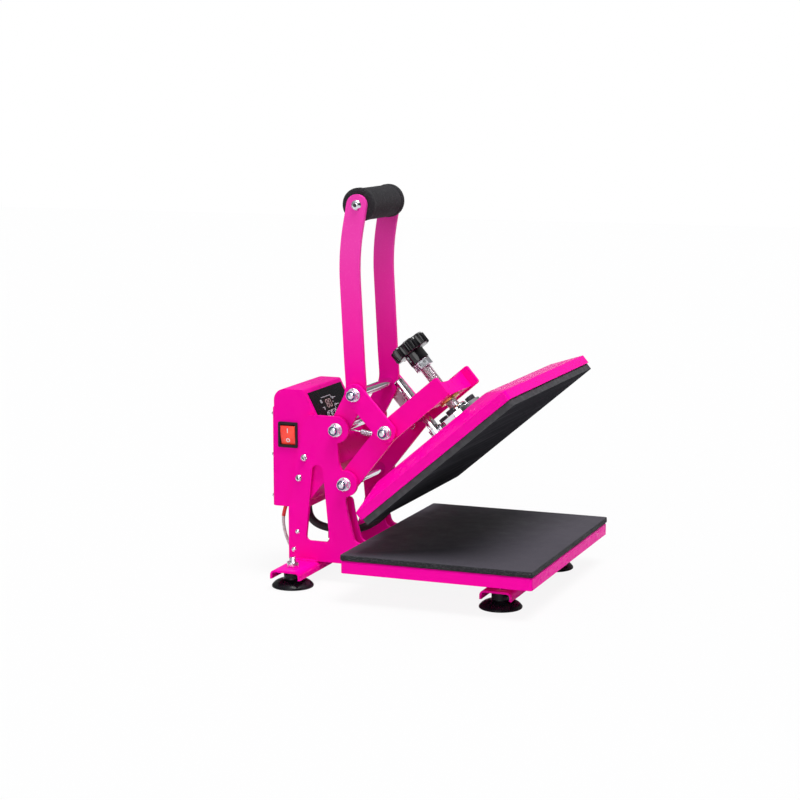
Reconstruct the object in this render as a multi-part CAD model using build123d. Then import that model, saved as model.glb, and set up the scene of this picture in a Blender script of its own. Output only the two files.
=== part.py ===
from build123d import *
import os
from math import acos, atan2, cos, degrees, hypot, radians, sin

# Small clamshell heat press, standing open. Millimetres, +Z up, +X to the machine's right
# as its user sees it from behind the grip, the user standing on the -Y side.
# The origin is on the floor, in the middle of the width and of the overall depth.

# ---------------------------------------------------------------- driving dimensions
# lower platen
PLATEN_WIDTH = 305.0
PLATEN_DEPTH = 229.0
PAD_THICKNESS = 6.5
TRAY_INSET = 1.0
TRAY_HEIGHT = 15.0
TRAY_SHEET = 2.0
TRAY_FOLD_RADIUS = 3.0

# channels and feet
CHANNEL_LENGTH = 240.0
CHANNEL_WIDTH = 38.0
CHANNEL_HEIGHT = 10.5
CHANNEL_SHEET = 2.5
CHANNEL_FOLD_RADIUS = 6.0
FRONT_CHANNEL_FROM_CENTRE = 61.0
REAR_CHANNEL_FROM_CENTRE = PLATEN_DEPTH / 2 + 83.0
FLOOR_CLEARANCE = 12.5
FRONT_FOOT_SPACING = 201.0
REAR_FOOT_SPACING = 194.0
CUP_DIAMETER = 49.5
CUP_DOME_HEIGHT = 9.0
CUP_RIM_THICKNESS = 2.0
CUP_NECK_DIAMETER = 21.0
STUD_DIAMETER = 8.0
STUD_ABOVE_CHANNEL = 12.0

# side plates
PLATE_THICKNESS = 5.0
INNER_LAYER_X = 50.0
LAYER_GAP = 1.5
RAIL_HEIGHT = 12.5
UPRIGHT_REAR_FROM_CENTRE = PLATEN_DEPTH / 2 + 104.0
UPRIGHT_WAIST_FROM_CENTRE = PLATEN_DEPTH / 2 + 40.5
LUG_RADIUS = 15.5
CHEEK_INNER_X = 38.0
CHEEK_THICKNESS = 4.0

# linkage: lower pivot (arm), upper pivot (handle lever), lever, link and arm crank
LOWER_PIVOT_FROM_CENTRE = PLATEN_DEPTH / 2 + 31.5
LOWER_PIVOT_ABOVE_PAD = 62.2
UPPER_PIVOT_BACK = 10.5
UPPER_PIVOT_UP = 63.8
LEVER_LENGTH = 48.4
LEVER_ANGLE = 61.9
CRANK_LENGTH = 82.4
CRANK_ANGLE = 11.1
OPEN_ANGLE = 40.4
CLOSED_GAP = 0.5
BAR_WIDTH = 25.0
ARM_REACH = PLATEN_DEPTH / 2 + 55.5
ARM_BEND_RADIUS = 30.0
PIVOT_BOLT_DIAMETER = 8.0
RUNNING_CLEARANCE = 0.05
SLOT_TRAVEL = 5.6
SLOT_CLEARANCE = 0.6
SPACER_DIAMETER = 14.0
LEVER_SPACER_DIAMETER = 11.0
WASHER_DIAMETER = 16.0
WASHER_THICKNESS = 1.3
NUT_ACROSS_FLATS = 13.0
NUT_HEIGHT = 8.0
BOLT_TIP = 1.5
HEAD_HEIGHT = 5.5
SIDE_GAP = 0.2

# handle
GRIP_DIAMETER = 38.0
GRIP_RING_EXTRA = 1.0
GRIP_RING_LENGTH = 9.0
GRIP_TUBE_DIAMETER = 22.0
GRIP_TUBE_WALL = 2.0
GRIP_UP = 262.5
GRIP_FORWARD = 23.6
HANDLE_SHOULDER_UP = 206.0
HANDLE_SHOULDER_FORWARD = 13.4
HANDLE_KNEE_UP = 80.0
HANDLE_KNEE_FORWARD = 20.2
HANDLE_BOW_RADIUS = 280.0
HANDLE_KNEE_RADIUS = 45.0
GRIP_SCREW_HEAD_DIAMETER = 13.0
GRIP_SCREW_HEAD_HEIGHT = 4.0

# upper platen
COVER_OVERHANG = 1.0
COVER_SIDE_HEIGHT = 11.0
COVER_BEVEL_HEIGHT = 14.0
COVER_BEVEL_INSET = 30.0
COVER_SHEET = 2.0
HEATER_PLATE_THICKNESS = 8.0
HEATER_PLATE_INSET = 1.0
STIFFENER_THICKNESS = 6.0
INNER_STACK_INSET = 34.0
MOUNT_PLATE_LENGTH = 116.0
MOUNT_PLATE_WIDTH = 84.0
MOUNT_PLATE_THICKNESS = 6.0
FLANGE_DIAMETER = 58.0
FLANGE_THICKNESS = 9.0
FLANGE_HUB_DIAMETER = 26.0
FLANGE_HUB_HEIGHT = 7.0
FLANGE_BOLT_CIRCLE = 42.0
FLANGE_BOLT_DIAMETER = 6.0
FLANGE_BOLT_FLATS = 10.0
FLANGE_BOLT_HEAD = 5.0

# pressure screw, knob and guide
SCREW_DIAMETER = 14.0
SCREW_FOOT_DEPTH = 14.0
KNOB_BOTTOM_ABOVE_PIVOT = 60.5
KNOB_HUB_DIAMETER = 24.5
KNOB_HUB_HEIGHT = 13.5
KNOB_DIAMETER = 47.0
KNOB_THICKNESS = 14.5
KNOB_LOBES = 7
JAM_NUT_FLATS = 20.0
JAM_NUT_HEIGHT = 9.0
CROSS_DEPTH = 28.0
CROSS_SET_BACK = 10.0
CROSS_WEB_THICKNESS = 5.0
CROSS_BOTTOM_LIFT = 2.0
CROSS_SADDLE_DIP = 6.0
BRASS_NUT_DIAMETER = 20.0
BRASS_NUT_FLANGE = 26.0
BRASS_NUT_HEIGHT = 18.0
BRASS_FLANGE_THICKNESS = 3.0
POST_DIAMETER = 12.0
POST_BEHIND_SCREW = 37.5
POST_TOP_ABOVE_PIVOT = 61.0
POST_COLLAR_DIAMETER = 17.0
POST_COLLAR_HEIGHT = 12.5
GUIDE_PLATE_DEPTH = 26.0
GUIDE_PLATE_THICKNESS = 6.0
GUIDE_PLATE_DROP = 3.0
GUIDE_BUSH_DIAMETER = 20.0
GUIDE_BUSH_LENGTH = 18.0

# control box
BOX_HALF_WIDTH = 56.0
BOX_SHEET = 2.0
BOX_REAR_FROM_CENTRE = PLATEN_DEPTH / 2 + 124.5
BOX_BOTTOM = 85.5
BOX_TOP = 227.0
BOX_TOP_FRONT_FROM_CENTRE = PLATEN_DEPTH / 2 + 86.5
BOX_NOSE_FROM_CENTRE = PLATEN_DEPTH / 2 + 41.5
BOX_NOSE_HEIGHT = 141.0
BOX_UNDERSIDE_FROM_CENTRE = PLATEN_DEPTH / 2 + 80.0
BOX_UNDERSIDE_HEIGHT = 94.0
BOX_CROWN_RADIUS = 14.0
BOX_EDGE_RADIUS = 3.0
REAR_COVER_TOP = 205.0
REAR_COVER_SHEET = 1.5
REAR_SCREW_HEIGHTS = (97.0, 147.0, 196.0)
SCREW_HEAD_DIAMETER = 9.0
SCREW_HEAD_HEIGHT = 3.0
SCREW_SHANK_DIAMETER = 5.0
RIVET_DIAMETER = 6.0
RIVET_HEIGHT = 1.5
RIVET_SHANK_DIAMETER = 4.0
RIVET_TAIL_DIAMETER = 6.5
RIVET_TAIL_THICKNESS = 1.2
PANEL_WIDTH = 98.0
PANEL_LENGTH = 46.0
PANEL_FROM_TOP = 5.5
PANEL_THICKNESS = 1.2
DISPLAY_OFFSET = -8.0
WINDOW_WIDTH = 27.0
WINDOW_LENGTH = 15.0
WINDOW_FROM_PANEL_TOP = 19.5
BUTTON_COUNT = 4
BUTTON_DIAMETER = 9.0
BUTTON_PITCH = 11.2
BUTTONS_FROM_PANEL_TOP = 33.0
BUTTON_PROUD = 1.2
BUTTON_TRAVEL = 0.8
BUTTON_CLEARANCE = 0.3
BUTTON_STEM = 3.0
BOARD_GAP = 3.2
BOARD_THICKNESS = 1.6
SWITCH_WIDTH = 25.0
SWITCH_HEIGHT = 30.5
SWITCH_FROM_CENTRE = PLATEN_DEPTH / 2 + 106.0
SWITCH_LEVEL = 172.5
SWITCH_RIM = 2.5
SWITCH_BODY_DEPTH = 18.0
ROCKER_WIDTH = 18.5
ROCKER_HEIGHT = 23.0
ROCKER_CLEARANCE = 0.5
ROCKER_TILT = 9.0
LEAD_DIAMETER = 9.5
GLAND_DIAMETER = 16.0
GLAND_LENGTH = 9.0
LEAD_GAP = 0.3
STRAP_DIAMETER = 4.0
GLAND_X = 5.0
GLAND_FROM_CENTRE = PLATEN_DEPTH / 2 + 108.0
STRAP_X = -48.0
INLET_X = 22.0
INLET_Z = 112.0
INLET_WIDTH = 28.0
INLET_HEIGHT = 22.0

# opening springs
SPRING_X = 43.0
SPRING_DIAMETER = 7.0
SPRING_COIL_START = 5.0
SPRING_COIL_LENGTH = 26.0
SPRING_WIRE = 1.6
SPRING_STUD_ALONG = 71.0
SPRING_STUD_DIAMETER = 6.0

# ---------------------------------------------------------------- derived places
CHANNEL_TOP = FLOOR_CLEARANCE + CHANNEL_HEIGHT
TRAY_BOTTOM = CHANNEL_TOP + RAIL_HEIGHT
TRAY_TOP = TRAY_BOTTOM + TRAY_HEIGHT
PAD_TOP = TRAY_TOP + PAD_THICKNESS

SPRING_UPPER_SEAT = SPACER_DIAMETER / 2
BOX_REAR_MOST = BOX_REAR_FROM_CENTRE + REAR_COVER_SHEET + SCREW_HEAD_HEIGHT
CENTRE_Y = (PLATEN_DEPTH / 2 - BOX_REAR_MOST) / 2

OUTER_LAYER_X = INNER_LAYER_X + PLATE_THICKNESS + LAYER_GAP
OUTER_FACE_X = OUTER_LAYER_X + PLATE_THICKNESS

LOWER_PIVOT_Y = CENTRE_Y + LOWER_PIVOT_FROM_CENTRE
LOWER_PIVOT_Z = PAD_TOP + LOWER_PIVOT_ABOVE_PAD
UPPER_PIVOT_Y = LOWER_PIVOT_Y + UPPER_PIVOT_BACK
UPPER_PIVOT_Z = LOWER_PIVOT_Z + UPPER_PIVOT_UP
LEVER_END_Y = UPPER_PIVOT_Y - LEVER_LENGTH * cos(radians(LEVER_ANGLE))
LEVER_END_Z = UPPER_PIVOT_Z + LEVER_LENGTH * sin(radians(LEVER_ANGLE))
CRANK_OPEN_ANGLE = CRANK_ANGLE + OPEN_ANGLE
CRANK_END_Y = LOWER_PIVOT_Y - CRANK_LENGTH * cos(radians(CRANK_OPEN_ANGLE))
CRANK_END_Z = LOWER_PIVOT_Z + CRANK_LENGTH * sin(radians(CRANK_OPEN_ANGLE))
LINK_LENGTH = hypot(CRANK_END_Y - LEVER_END_Y, CRANK_END_Z - LEVER_END_Z)

# the arm and the upper platen are drawn closed, with forward along -Y, and tilted open at the end
CLOSED_CRANK_Y = LOWER_PIVOT_Y - CRANK_LENGTH * cos(radians(CRANK_ANGLE))
CLOSED_CRANK_Z = LOWER_PIVOT_Z + CRANK_LENGTH * sin(radians(CRANK_ANGLE))
ARM_TOP_Z = CLOSED_CRANK_Z + BAR_WIDTH / 2
ARM_BOTTOM_Z = CLOSED_CRANK_Z - BAR_WIDTH / 2
ARM_FRONT_Y = LOWER_PIVOT_Y - ARM_REACH
SCREW_Y = CENTRE_Y
POST_Y = SCREW_Y + POST_BEHIND_SCREW
PLATE_BOTTOM_Z = PAD_TOP + CLOSED_GAP
COVER_BOTTOM_Z = PLATE_BOTTOM_Z + HEATER_PLATE_THICKNESS
COVER_TOP_Z = COVER_BOTTOM_Z + COVER_SIDE_HEIGHT + COVER_BEVEL_HEIGHT
MOUNT_TOP_Z = COVER_TOP_Z + MOUNT_PLATE_THICKNESS
FLANGE_TOP_Z = MOUNT_TOP_Z + FLANGE_THICKNESS
CROSS_FRONT_Y = ARM_FRONT_Y + CROSS_SET_BACK
CROSS_REAR_Y = CROSS_FRONT_Y + CROSS_DEPTH
CROSS_BOTTOM_Z = ARM_BOTTOM_Z + CROSS_BOTTOM_LIFT
KNOB_BOTTOM_Z = LOWER_PIVOT_Z + KNOB_BOTTOM_ABOVE_PIVOT
COVER_WIDTH = PLATEN_WIDTH + 2 * COVER_OVERHANG
COVER_DEPTH = PLATEN_DEPTH + 2 * COVER_OVERHANG

# slanted display face of the control box, from its top edge down to the nose
FACE_RUN = BOX_TOP_FRONT_FROM_CENTRE - BOX_NOSE_FROM_CENTRE
FACE_DROP = BOX_TOP - BOX_NOSE_HEIGHT
DISPLAY_PLANE = Plane(
    origin=(0, CENTRE_Y + BOX_TOP_FRONT_FROM_CENTRE, BOX_TOP),
    x_dir=(1, 0, 0),
    z_dir=(0, -FACE_DROP, FACE_RUN),
)


# ---------------------------------------------------------------- helpers
def closure_turns():
    """Turn of the handle and of the link, in degrees, as the arm closes by OPEN_ANGLE."""
    reach_y = CLOSED_CRANK_Y - UPPER_PIVOT_Y
    reach_z = CLOSED_CRANK_Z - UPPER_PIVOT_Z
    reach = hypot(reach_y, reach_z)
    opening = acos((LEVER_LENGTH**2 + reach**2 - LINK_LENGTH**2) / (2 * LEVER_LENGTH * reach))
    lever_closed = atan2(reach_z, reach_y) - opening
    lever_open = atan2(LEVER_END_Z - UPPER_PIVOT_Z, LEVER_END_Y - UPPER_PIVOT_Y)
    handle_turn = degrees(lever_closed - lever_open) % 360
    end_y = UPPER_PIVOT_Y + LEVER_LENGTH * cos(lever_closed)
    end_z = UPPER_PIVOT_Z + LEVER_LENGTH * sin(lever_closed)
    link_closed = atan2(CLOSED_CRANK_Z - end_z, CLOSED_CRANK_Y - end_y)
    link_open = atan2(CRANK_END_Z - LEVER_END_Z, CRANK_END_Y - LEVER_END_Y)
    link_turn = (degrees(link_closed - link_open) + 180) % 360 - 180
    return handle_turn, link_turn - handle_turn


def tilt_open(shape):
    """Turn a shape drawn in the closed position about the lower pivot, to the open position."""
    pivot = Pos(0, LOWER_PIVOT_Y, LOWER_PIVOT_Z)
    return pivot * Rot(-OPEN_ANGLE, 0, 0) * pivot.inverse() * shape


def side_plate(profile, inner_x, thickness, side):
    """Extrude a Y-Z profile into a plate whose inner face lies inner_x from the middle."""
    start = inner_x if side > 0 else -inner_x - thickness
    return extrude(Plane.YZ.offset(start) * profile, amount=thickness)


def x_rod(radius, start_x, end_x, y, z):
    return Pos((start_x + end_x) / 2, y, z) * Rot(0, 90, 0) * Cylinder(radius, end_x - start_x)


def x_tube(outer, inner, start_x, end_x, y, z):
    return x_rod(outer, start_x, end_x, y, z) - x_rod(inner, start_x - 1, end_x + 1, y, z)


def z_rod(radius, bottom, top, x=0.0, y=0.0):
    return Pos(x, y, (bottom + top) / 2) * Cylinder(radius, top - bottom)


def box_between(low, high):
    size = [high[i] - low[i] for i in range(3)]
    middle = [(high[i] + low[i]) / 2 for i in range(3)]
    return Pos(*middle) * Box(*size)


def hexagon_prism(flats, height):
    return extrude(RegularPolygon(flats / 2, 6, major_radius=False), amount=height)


def x_hexagon(flats, start_x, end_x, y, z):
    prism = hexagon_prism(flats, end_x - start_x)
    return Pos(start_x, y, z) * Rot(0, 90, 0) * prism


def yz(profile_points, radii):
    """A closed Y-Z outline with rounded corners; depths count from the platen's middle."""
    points = [(CENTRE_Y + y, z) for y, z in profile_points]
    return make_face(FilletPolyline(*points, radius=radii, close=True))


def dome_screw(x_face, y, z, side, diameter, height, shank=0.0, shank_diameter=0.0):
    """A domed head on the face at x_face, pointing outwards, with a shank behind it."""
    sphere_radius = (diameter**2 / 4 + height**2) / (2 * height)
    half_angle = atan2(diameter / 2, sphere_radius - height) / 2
    arc_middle = (
        height - sphere_radius + sphere_radius * cos(half_angle), sphere_radius * sin(half_angle)
    )
    rim = (0, diameter / 2)
    outline = [Line((height, 0), (-shank, 0)), ThreePointArc(rim, arc_middle, (height, 0))]
    if shank:
        neck = shank_diameter / 2
        outline += [Line((-shank, 0), (-shank, neck)), Line((-shank, neck), (0, neck)), Line((0, neck), rim)]
    else:
        outline += [Line((0, 0), rim)]
    screw = revolve(make_face(outline), Axis.X)
    return Pos(x_face, y, z) * Rot(0, 0, 0 if side > 0 else 180) * screw


# ---------------------------------------------------------------- lower platen and feet
def base_tray():
    width = PLATEN_WIDTH - 2 * TRAY_INSET
    depth = PLATEN_DEPTH - 2 * TRAY_INSET
    shell = Pos(0, CENTRE_Y, TRAY_BOTTOM) * extrude(Rectangle(width, depth), amount=TRAY_HEIGHT)
    shell = fillet(shell.edges().group_by(Axis.Z)[-1] + shell.edges().filter_by(Axis.Z), TRAY_FOLD_RADIUS)
    inside = extrude(
        Rectangle(width - 2 * TRAY_SHEET, depth - 2 * TRAY_SHEET), amount=TRAY_HEIGHT - TRAY_SHEET
    )
    return shell - Pos(0, CENTRE_Y, TRAY_BOTTOM) * inside


def lower_pad():
    pad = extrude(RectangleRounded(PLATEN_WIDTH, PLATEN_DEPTH, 2.0), amount=PAD_THICKNESS)
    return Pos(0, CENTRE_Y, TRAY_TOP) * pad


def foot_places():
    rows = (
        (-FRONT_CHANNEL_FROM_CENTRE, FRONT_FOOT_SPACING),
        (REAR_CHANNEL_FROM_CENTRE, REAR_FOOT_SPACING),
    )
    for depth, spacing in rows:
        for side in (-1, 1):
            yield side * spacing / 2, CENTRE_Y + depth


def channel(from_centre, foot_spacing):
    """A C-shaped sheet channel across the machine, open downwards."""
    y = CENTRE_Y + from_centre
    half = CHANNEL_LENGTH / 2
    bar = box_between(
        (-half, y - CHANNEL_WIDTH / 2, FLOOR_CLEARANCE), (half, y + CHANNEL_WIDTH / 2, CHANNEL_TOP)
    )
    bar = fillet(bar.edges().filter_by(Axis.X).group_by(Axis.Z)[-1], CHANNEL_FOLD_RADIUS)
    inner = CHANNEL_WIDTH / 2 - CHANNEL_SHEET
    hollow = box_between(
        (-half - 1, y - inner, FLOOR_CLEARANCE - 1), (half + 1, y + inner, CHANNEL_TOP - CHANNEL_SHEET)
    )
    corners = hollow.edges().filter_by(Axis.X).group_by(Axis.Z)[-1]
    bar = bar - fillet(corners, CHANNEL_FOLD_RADIUS - CHANNEL_SHEET)
    for side in (-1, 1):
        bar = bar - z_rod(
            STUD_DIAMETER / 2, FLOOR_CLEARANCE, CHANNEL_TOP + 1, side * foot_spacing / 2, y
        )
    return bar


def suction_cup(x, y):
    """A rubber cup: a neck on a flaring bell, hollow underneath, turned about its stud."""
    neck = CUP_NECK_DIAMETER / 2
    rim = CUP_DIAMETER / 2
    top = CHANNEL_TOP - CHANNEL_SHEET
    bore = STUD_DIAMETER / 2
    outline = [
        Line((bore, CUP_RIM_THICKNESS + 3), (bore, top)),
        Line((bore, top), (neck, top)),
        Line((neck, top), (neck, CUP_DOME_HEIGHT)),
        ThreePointArc((neck, CUP_DOME_HEIGHT), (neck + 8.7, CUP_DOME_HEIGHT - 2.0), (rim, CUP_RIM_THICKNESS)),
        Line((rim, CUP_RIM_THICKNESS), (rim - 0.8, 0)),
        Line((rim - 0.8, 0), (rim - 3.5, 0)),
        ThreePointArc((rim - 3.5, 0), (neck + 2, CUP_RIM_THICKNESS + 1.6), (bore, CUP_RIM_THICKNESS + 3)),
    ]
    return Pos(x, y, 0) * revolve(Plane.XZ * make_face(outline), Axis.Z)


def foot_cups():
    return [suction_cup(x, y) for x, y in foot_places()]


def foot_studs():
    """Threaded studs moulded into the cups, each with its nut on top of the channel."""
    studs = []
    for x, y in foot_places():
        stud = z_rod(STUD_DIAMETER / 2, CUP_RIM_THICKNESS + 3, CHANNEL_TOP + STUD_ABOVE_CHANNEL, x, y)
        nut = Pos(x, y, CHANNEL_TOP) * hexagon_prism(NUT_ACROSS_FLATS, 0.8 * STUD_DIAMETER)
        studs.append(stud + nut)
    return studs


# ---------------------------------------------------------------- uprights
def pivot_holes(radius):
    places = ((LOWER_PIVOT_Y, LOWER_PIVOT_Z), (UPPER_PIVOT_Y, UPPER_PIVOT_Z))
    return Sketch() + [Pos(y, z) * Circle(radius) for y, z in places]


def upright_outline():
    """Side plate: a tall tapered plate with two pivot lugs and a rail under the tray."""
    rear = UPRIGHT_REAR_FROM_CENTRE
    waist = UPRIGHT_WAIST_FROM_CENTRE
    lower = LOWER_PIVOT_FROM_CENTRE
    upper = lower + UPPER_PIVOT_BACK
    top = UPPER_PIVOT_Z + LUG_RADIUS
    tray_rear = PLATEN_DEPTH / 2 - TRAY_INSET
    front = -FRONT_CHANNEL_FROM_CENTRE - CHANNEL_WIDTH / 2
    points = [
        (rear, CHANNEL_TOP),
        (rear, CHANNEL_TOP + 65.0),
        (upper + 40.0, top),
        (upper - 5.0, top),
        (waist, UPPER_PIVOT_Z - 14.5),
        (waist - 1.0, LOWER_PIVOT_Z + 24.0),
        (lower - 4.0, LOWER_PIVOT_Z),
        (lower - 1.0, LOWER_PIVOT_Z - 22.0),
        (lower - 4.0, TRAY_TOP + 30.0),
        (lower - 12.0, TRAY_TOP - 0.5),
        (tray_rear + 2.0, TRAY_TOP - 5.0),
        (tray_rear + 2.0, TRAY_BOTTOM),
        (front, TRAY_BOTTOM),
        (front, CHANNEL_TOP),
    ]
    radii = [1.0, 40.0, 10.0, 6.0, 6.0, 20.0, 8.0, 8.0, 40.0, 8.0, 1.5, 1.0, 1.0, 1.0]
    plate = yz(points, radii)
    for y, z in ((LOWER_PIVOT_Y, LOWER_PIVOT_Z), (UPPER_PIVOT_Y, UPPER_PIVOT_Z)):
        plate = plate + Pos(y, z) * Circle(LUG_RADIUS)
    return plate - upright_window()


def upright_window():
    rear = UPRIGHT_REAR_FROM_CENTRE
    points = [(rear - 22.0, 47.0), (rear - 31.5, 139.0), (rear - 44.0, 139.0), (rear - 53.0, 47.0)]
    return yz(points, [5.0, 5.5, 5.5, 3.5])


def upright(side):
    profile = upright_outline() - pivot_holes(PIVOT_BOLT_DIAMETER / 2)
    plate = side_plate(profile, OUTER_LAYER_X, PLATE_THICKNESS, side)
    middle = side * (OUTER_LAYER_X + PLATE_THICKNESS / 2)
    near, far = middle - PLATE_THICKNESS, middle + PLATE_THICKNESS
    for y, z in box_screw_places():
        plate = plate - x_rod(SCREW_SHANK_DIAMETER / 2, near, far, y, z)
    for y, z in rivet_places():
        plate = plate - x_rod(RIVET_SHANK_DIAMETER / 2, near, far, y, z)
    return plate


def inner_cheeks():
    """A smaller plate inside each upright, which ties the rail to the rear channel."""
    lower = LOWER_PIVOT_FROM_CENTRE
    points = [
        (REAR_CHANNEL_FROM_CENTRE + 2.5, CHANNEL_TOP),
        (REAR_CHANNEL_FROM_CENTRE + 2.5, CHANNEL_TOP + 16.0),
        (lower + 32.0, CHANNEL_TOP + 19.0),
        (lower + 24.0, CHANNEL_TOP + 30.0),
        (lower + 12.0, LOWER_PIVOT_Z - 24.0),
        (lower - 1.0, LOWER_PIVOT_Z - 16.0),
        (lower - 5.0, TRAY_TOP + 30.0),
        (lower - 13.0, TRAY_TOP - 1.0),
        (PLATEN_DEPTH / 2 + 1.0, TRAY_TOP - 6.0),
        (PLATEN_DEPTH / 2 + 1.0, CHANNEL_TOP),
    ]
    profile = yz(points, [1.0, 4.0, 6.0, 8.0, 8.0, 5.0, 40.0, 8.0, 1.5, 1.0])
    return [side_plate(profile, CHEEK_INNER_X, CHEEK_THICKNESS, side) for side in (-1, 1)]


def rivet_places():
    rear = CENTRE_Y + UPRIGHT_REAR_FROM_CENTRE
    return ((rear - 11.5, CHANNEL_TOP + 34.0), (rear - 6.5, CHANNEL_TOP + 12.0))


def frame_rivets():
    """Rivets through each upright: a low dome outside and a flat formed tail inside."""
    rivets = []
    for side in (-1, 1):
        for y, z in rivet_places():
            head = dome_screw(
                side * OUTER_FACE_X, y, z, side, RIVET_DIAMETER, RIVET_HEIGHT,
                PLATE_THICKNESS, RIVET_SHANK_DIAMETER,
            )
            span = sorted((side * (OUTER_LAYER_X - RIVET_TAIL_THICKNESS), side * OUTER_LAYER_X))
            rivets.append(head + x_rod(RIVET_TAIL_DIAMETER / 2, span[0], span[1], y, z))
    return rivets


def box_screw_places():
    rear = CENTRE_Y + UPRIGHT_REAR_FROM_CENTRE
    return ((rear - 20.5, 147.0), (rear - 13.5, 122.0))


def box_side_screws():
    """Button-head screws through each upright into the side of the control box."""
    shank = OUTER_FACE_X - BOX_HALF_WIDTH + BOX_SHEET
    screws = []
    for side in (-1, 1):
        for y, z in box_screw_places():
            screws.append(
                dome_screw(
                    side * OUTER_FACE_X, y, z, side, SCREW_HEAD_DIAMETER, SCREW_HEAD_HEIGHT,
                    shank, SCREW_SHANK_DIAMETER,
                )
            )
    return screws


# ---------------------------------------------------------------- pivots
def through_bolt(y, z, outer_x):
    """A hexagon-head bolt across the machine; its nut is on the -X side."""
    tip = -outer_x - WASHER_THICKNESS - NUT_HEIGHT - BOLT_TIP
    shank = x_rod(PIVOT_BOLT_DIAMETER / 2, tip, outer_x, y, z)
    shank = chamfer(shank.edges().filter_by(GeomType.CIRCLE).group_by(Axis.X)[0], 1.0)
    return shank + x_hexagon(NUT_ACROSS_FLATS, outer_x, outer_x + HEAD_HEIGHT, y, z)


def locknut(y, z, outer_x):
    """A locknut with its washer: a hexagon with a round collar that holds the insert."""
    seat = -outer_x
    washer = x_tube(WASHER_DIAMETER / 2, PIVOT_BOLT_DIAMETER / 2, seat - WASHER_THICKNESS, seat, y, z)
    nut_start = seat - WASHER_THICKNESS
    body = x_hexagon(NUT_ACROSS_FLATS, nut_start - 0.65 * NUT_HEIGHT, nut_start, y, z)
    collar = x_rod(0.47 * NUT_ACROSS_FLATS, nut_start - NUT_HEIGHT, nut_start - 0.6 * NUT_HEIGHT, y, z)
    bore = x_rod(PIVOT_BOLT_DIAMETER / 2, nut_start - NUT_HEIGHT - 1, nut_start + 1, y, z)
    return washer + (body + collar - bore)


def gap_washers(y, z):
    """Thin washers in the gap between the inner and the outer plates, one on each side."""
    start = INNER_LAYER_X + PLATE_THICKNESS + (LAYER_GAP - WASHER_THICKNESS) / 2
    end = start + WASHER_THICKNESS
    bore = PIVOT_BOLT_DIAMETER / 2
    return [
        x_tube(WASHER_DIAMETER / 2, bore, min(side * start, side * end), max(side * start, side * end), y, z)
        for side in (-1, 1)
    ]


def spacer_tube(y, z, diameter):
    half = INNER_LAYER_X - SIDE_GAP
    return x_tube(diameter / 2, PIVOT_BOLT_DIAMETER / 2 + RUNNING_CLEARANCE, -half, half, y, z)


def frame_pivot_places():
    return ((LOWER_PIVOT_Y, LOWER_PIVOT_Z), (UPPER_PIVOT_Y, UPPER_PIVOT_Z))


def frame_pivot_bolts():
    return [through_bolt(y, z, OUTER_FACE_X) for y, z in frame_pivot_places()]


def frame_pivot_fasteners():
    pieces = []
    for y, z in frame_pivot_places():
        pieces = pieces + [locknut(y, z, OUTER_FACE_X)] + gap_washers(y, z)
    return pieces


def frame_pivot_spacers():
    return [spacer_tube(y, z, SPACER_DIAMETER) for y, z in frame_pivot_places()]


# ---------------------------------------------------------------- handle
def running_hole(y, z):
    return Pos(y, z) * Circle(PIVOT_BOLT_DIAMETER / 2 + RUNNING_CLEARANCE)


def grip_place():
    return UPPER_PIVOT_Y - GRIP_FORWARD, UPPER_PIVOT_Z + GRIP_UP


def handle_side(side):
    """One handle bar: the short lever to the link, then the long, gently bowed bar."""
    grip_y, grip_z = grip_place()
    path = FilletPolyline(
        (UPPER_PIVOT_Y, UPPER_PIVOT_Z),
        (LEVER_END_Y, LEVER_END_Z),
        (UPPER_PIVOT_Y - HANDLE_KNEE_FORWARD, UPPER_PIVOT_Z + HANDLE_KNEE_UP),
        (UPPER_PIVOT_Y - HANDLE_SHOULDER_FORWARD, UPPER_PIVOT_Z + HANDLE_SHOULDER_UP),
        (grip_y, grip_z),
        radius=[HANDLE_KNEE_RADIUS, HANDLE_KNEE_RADIUS, HANDLE_BOW_RADIUS],
    )
    bar = trace(path, BAR_WIDTH)
    bar = bar + Pos(UPPER_PIVOT_Y, UPPER_PIVOT_Z) * Circle(BAR_WIDTH / 2)
    bar = bar + Pos(grip_y, grip_z) * Circle(BAR_WIDTH / 2)
    bar = bar - running_hole(UPPER_PIVOT_Y, UPPER_PIVOT_Z)
    bar = bar - Pos(LEVER_END_Y, LEVER_END_Z) * Circle(PIVOT_BOLT_DIAMETER / 2)
    bar = bar - Pos(grip_y, grip_z) * Circle(PIVOT_BOLT_DIAMETER / 2)
    return side_plate(bar, INNER_LAYER_X, PLATE_THICKNESS, side)


def grip_tube():
    y, z = grip_place()
    outer = GRIP_TUBE_DIAMETER / 2
    return x_tube(outer, outer - GRIP_TUBE_WALL, -INNER_LAYER_X, INNER_LAYER_X, y, z)


def foam_grip():
    """Foam sleeve on the tube, with a slightly larger ring at each end."""
    y, z = grip_place()
    bore = GRIP_TUBE_DIAMETER / 2
    half = INNER_LAYER_X - SIDE_GAP
    sleeve = x_tube(GRIP_DIAMETER / 2, bore, -half, half, y, z)
    for side in (-1, 1):
        ends = sorted((side * half, side * (half - GRIP_RING_LENGTH)))
        ring = x_tube(GRIP_DIAMETER / 2 + GRIP_RING_EXTRA, bore, ends[0], ends[1], y, z)
        sleeve = sleeve + ring
    return sleeve


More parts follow.
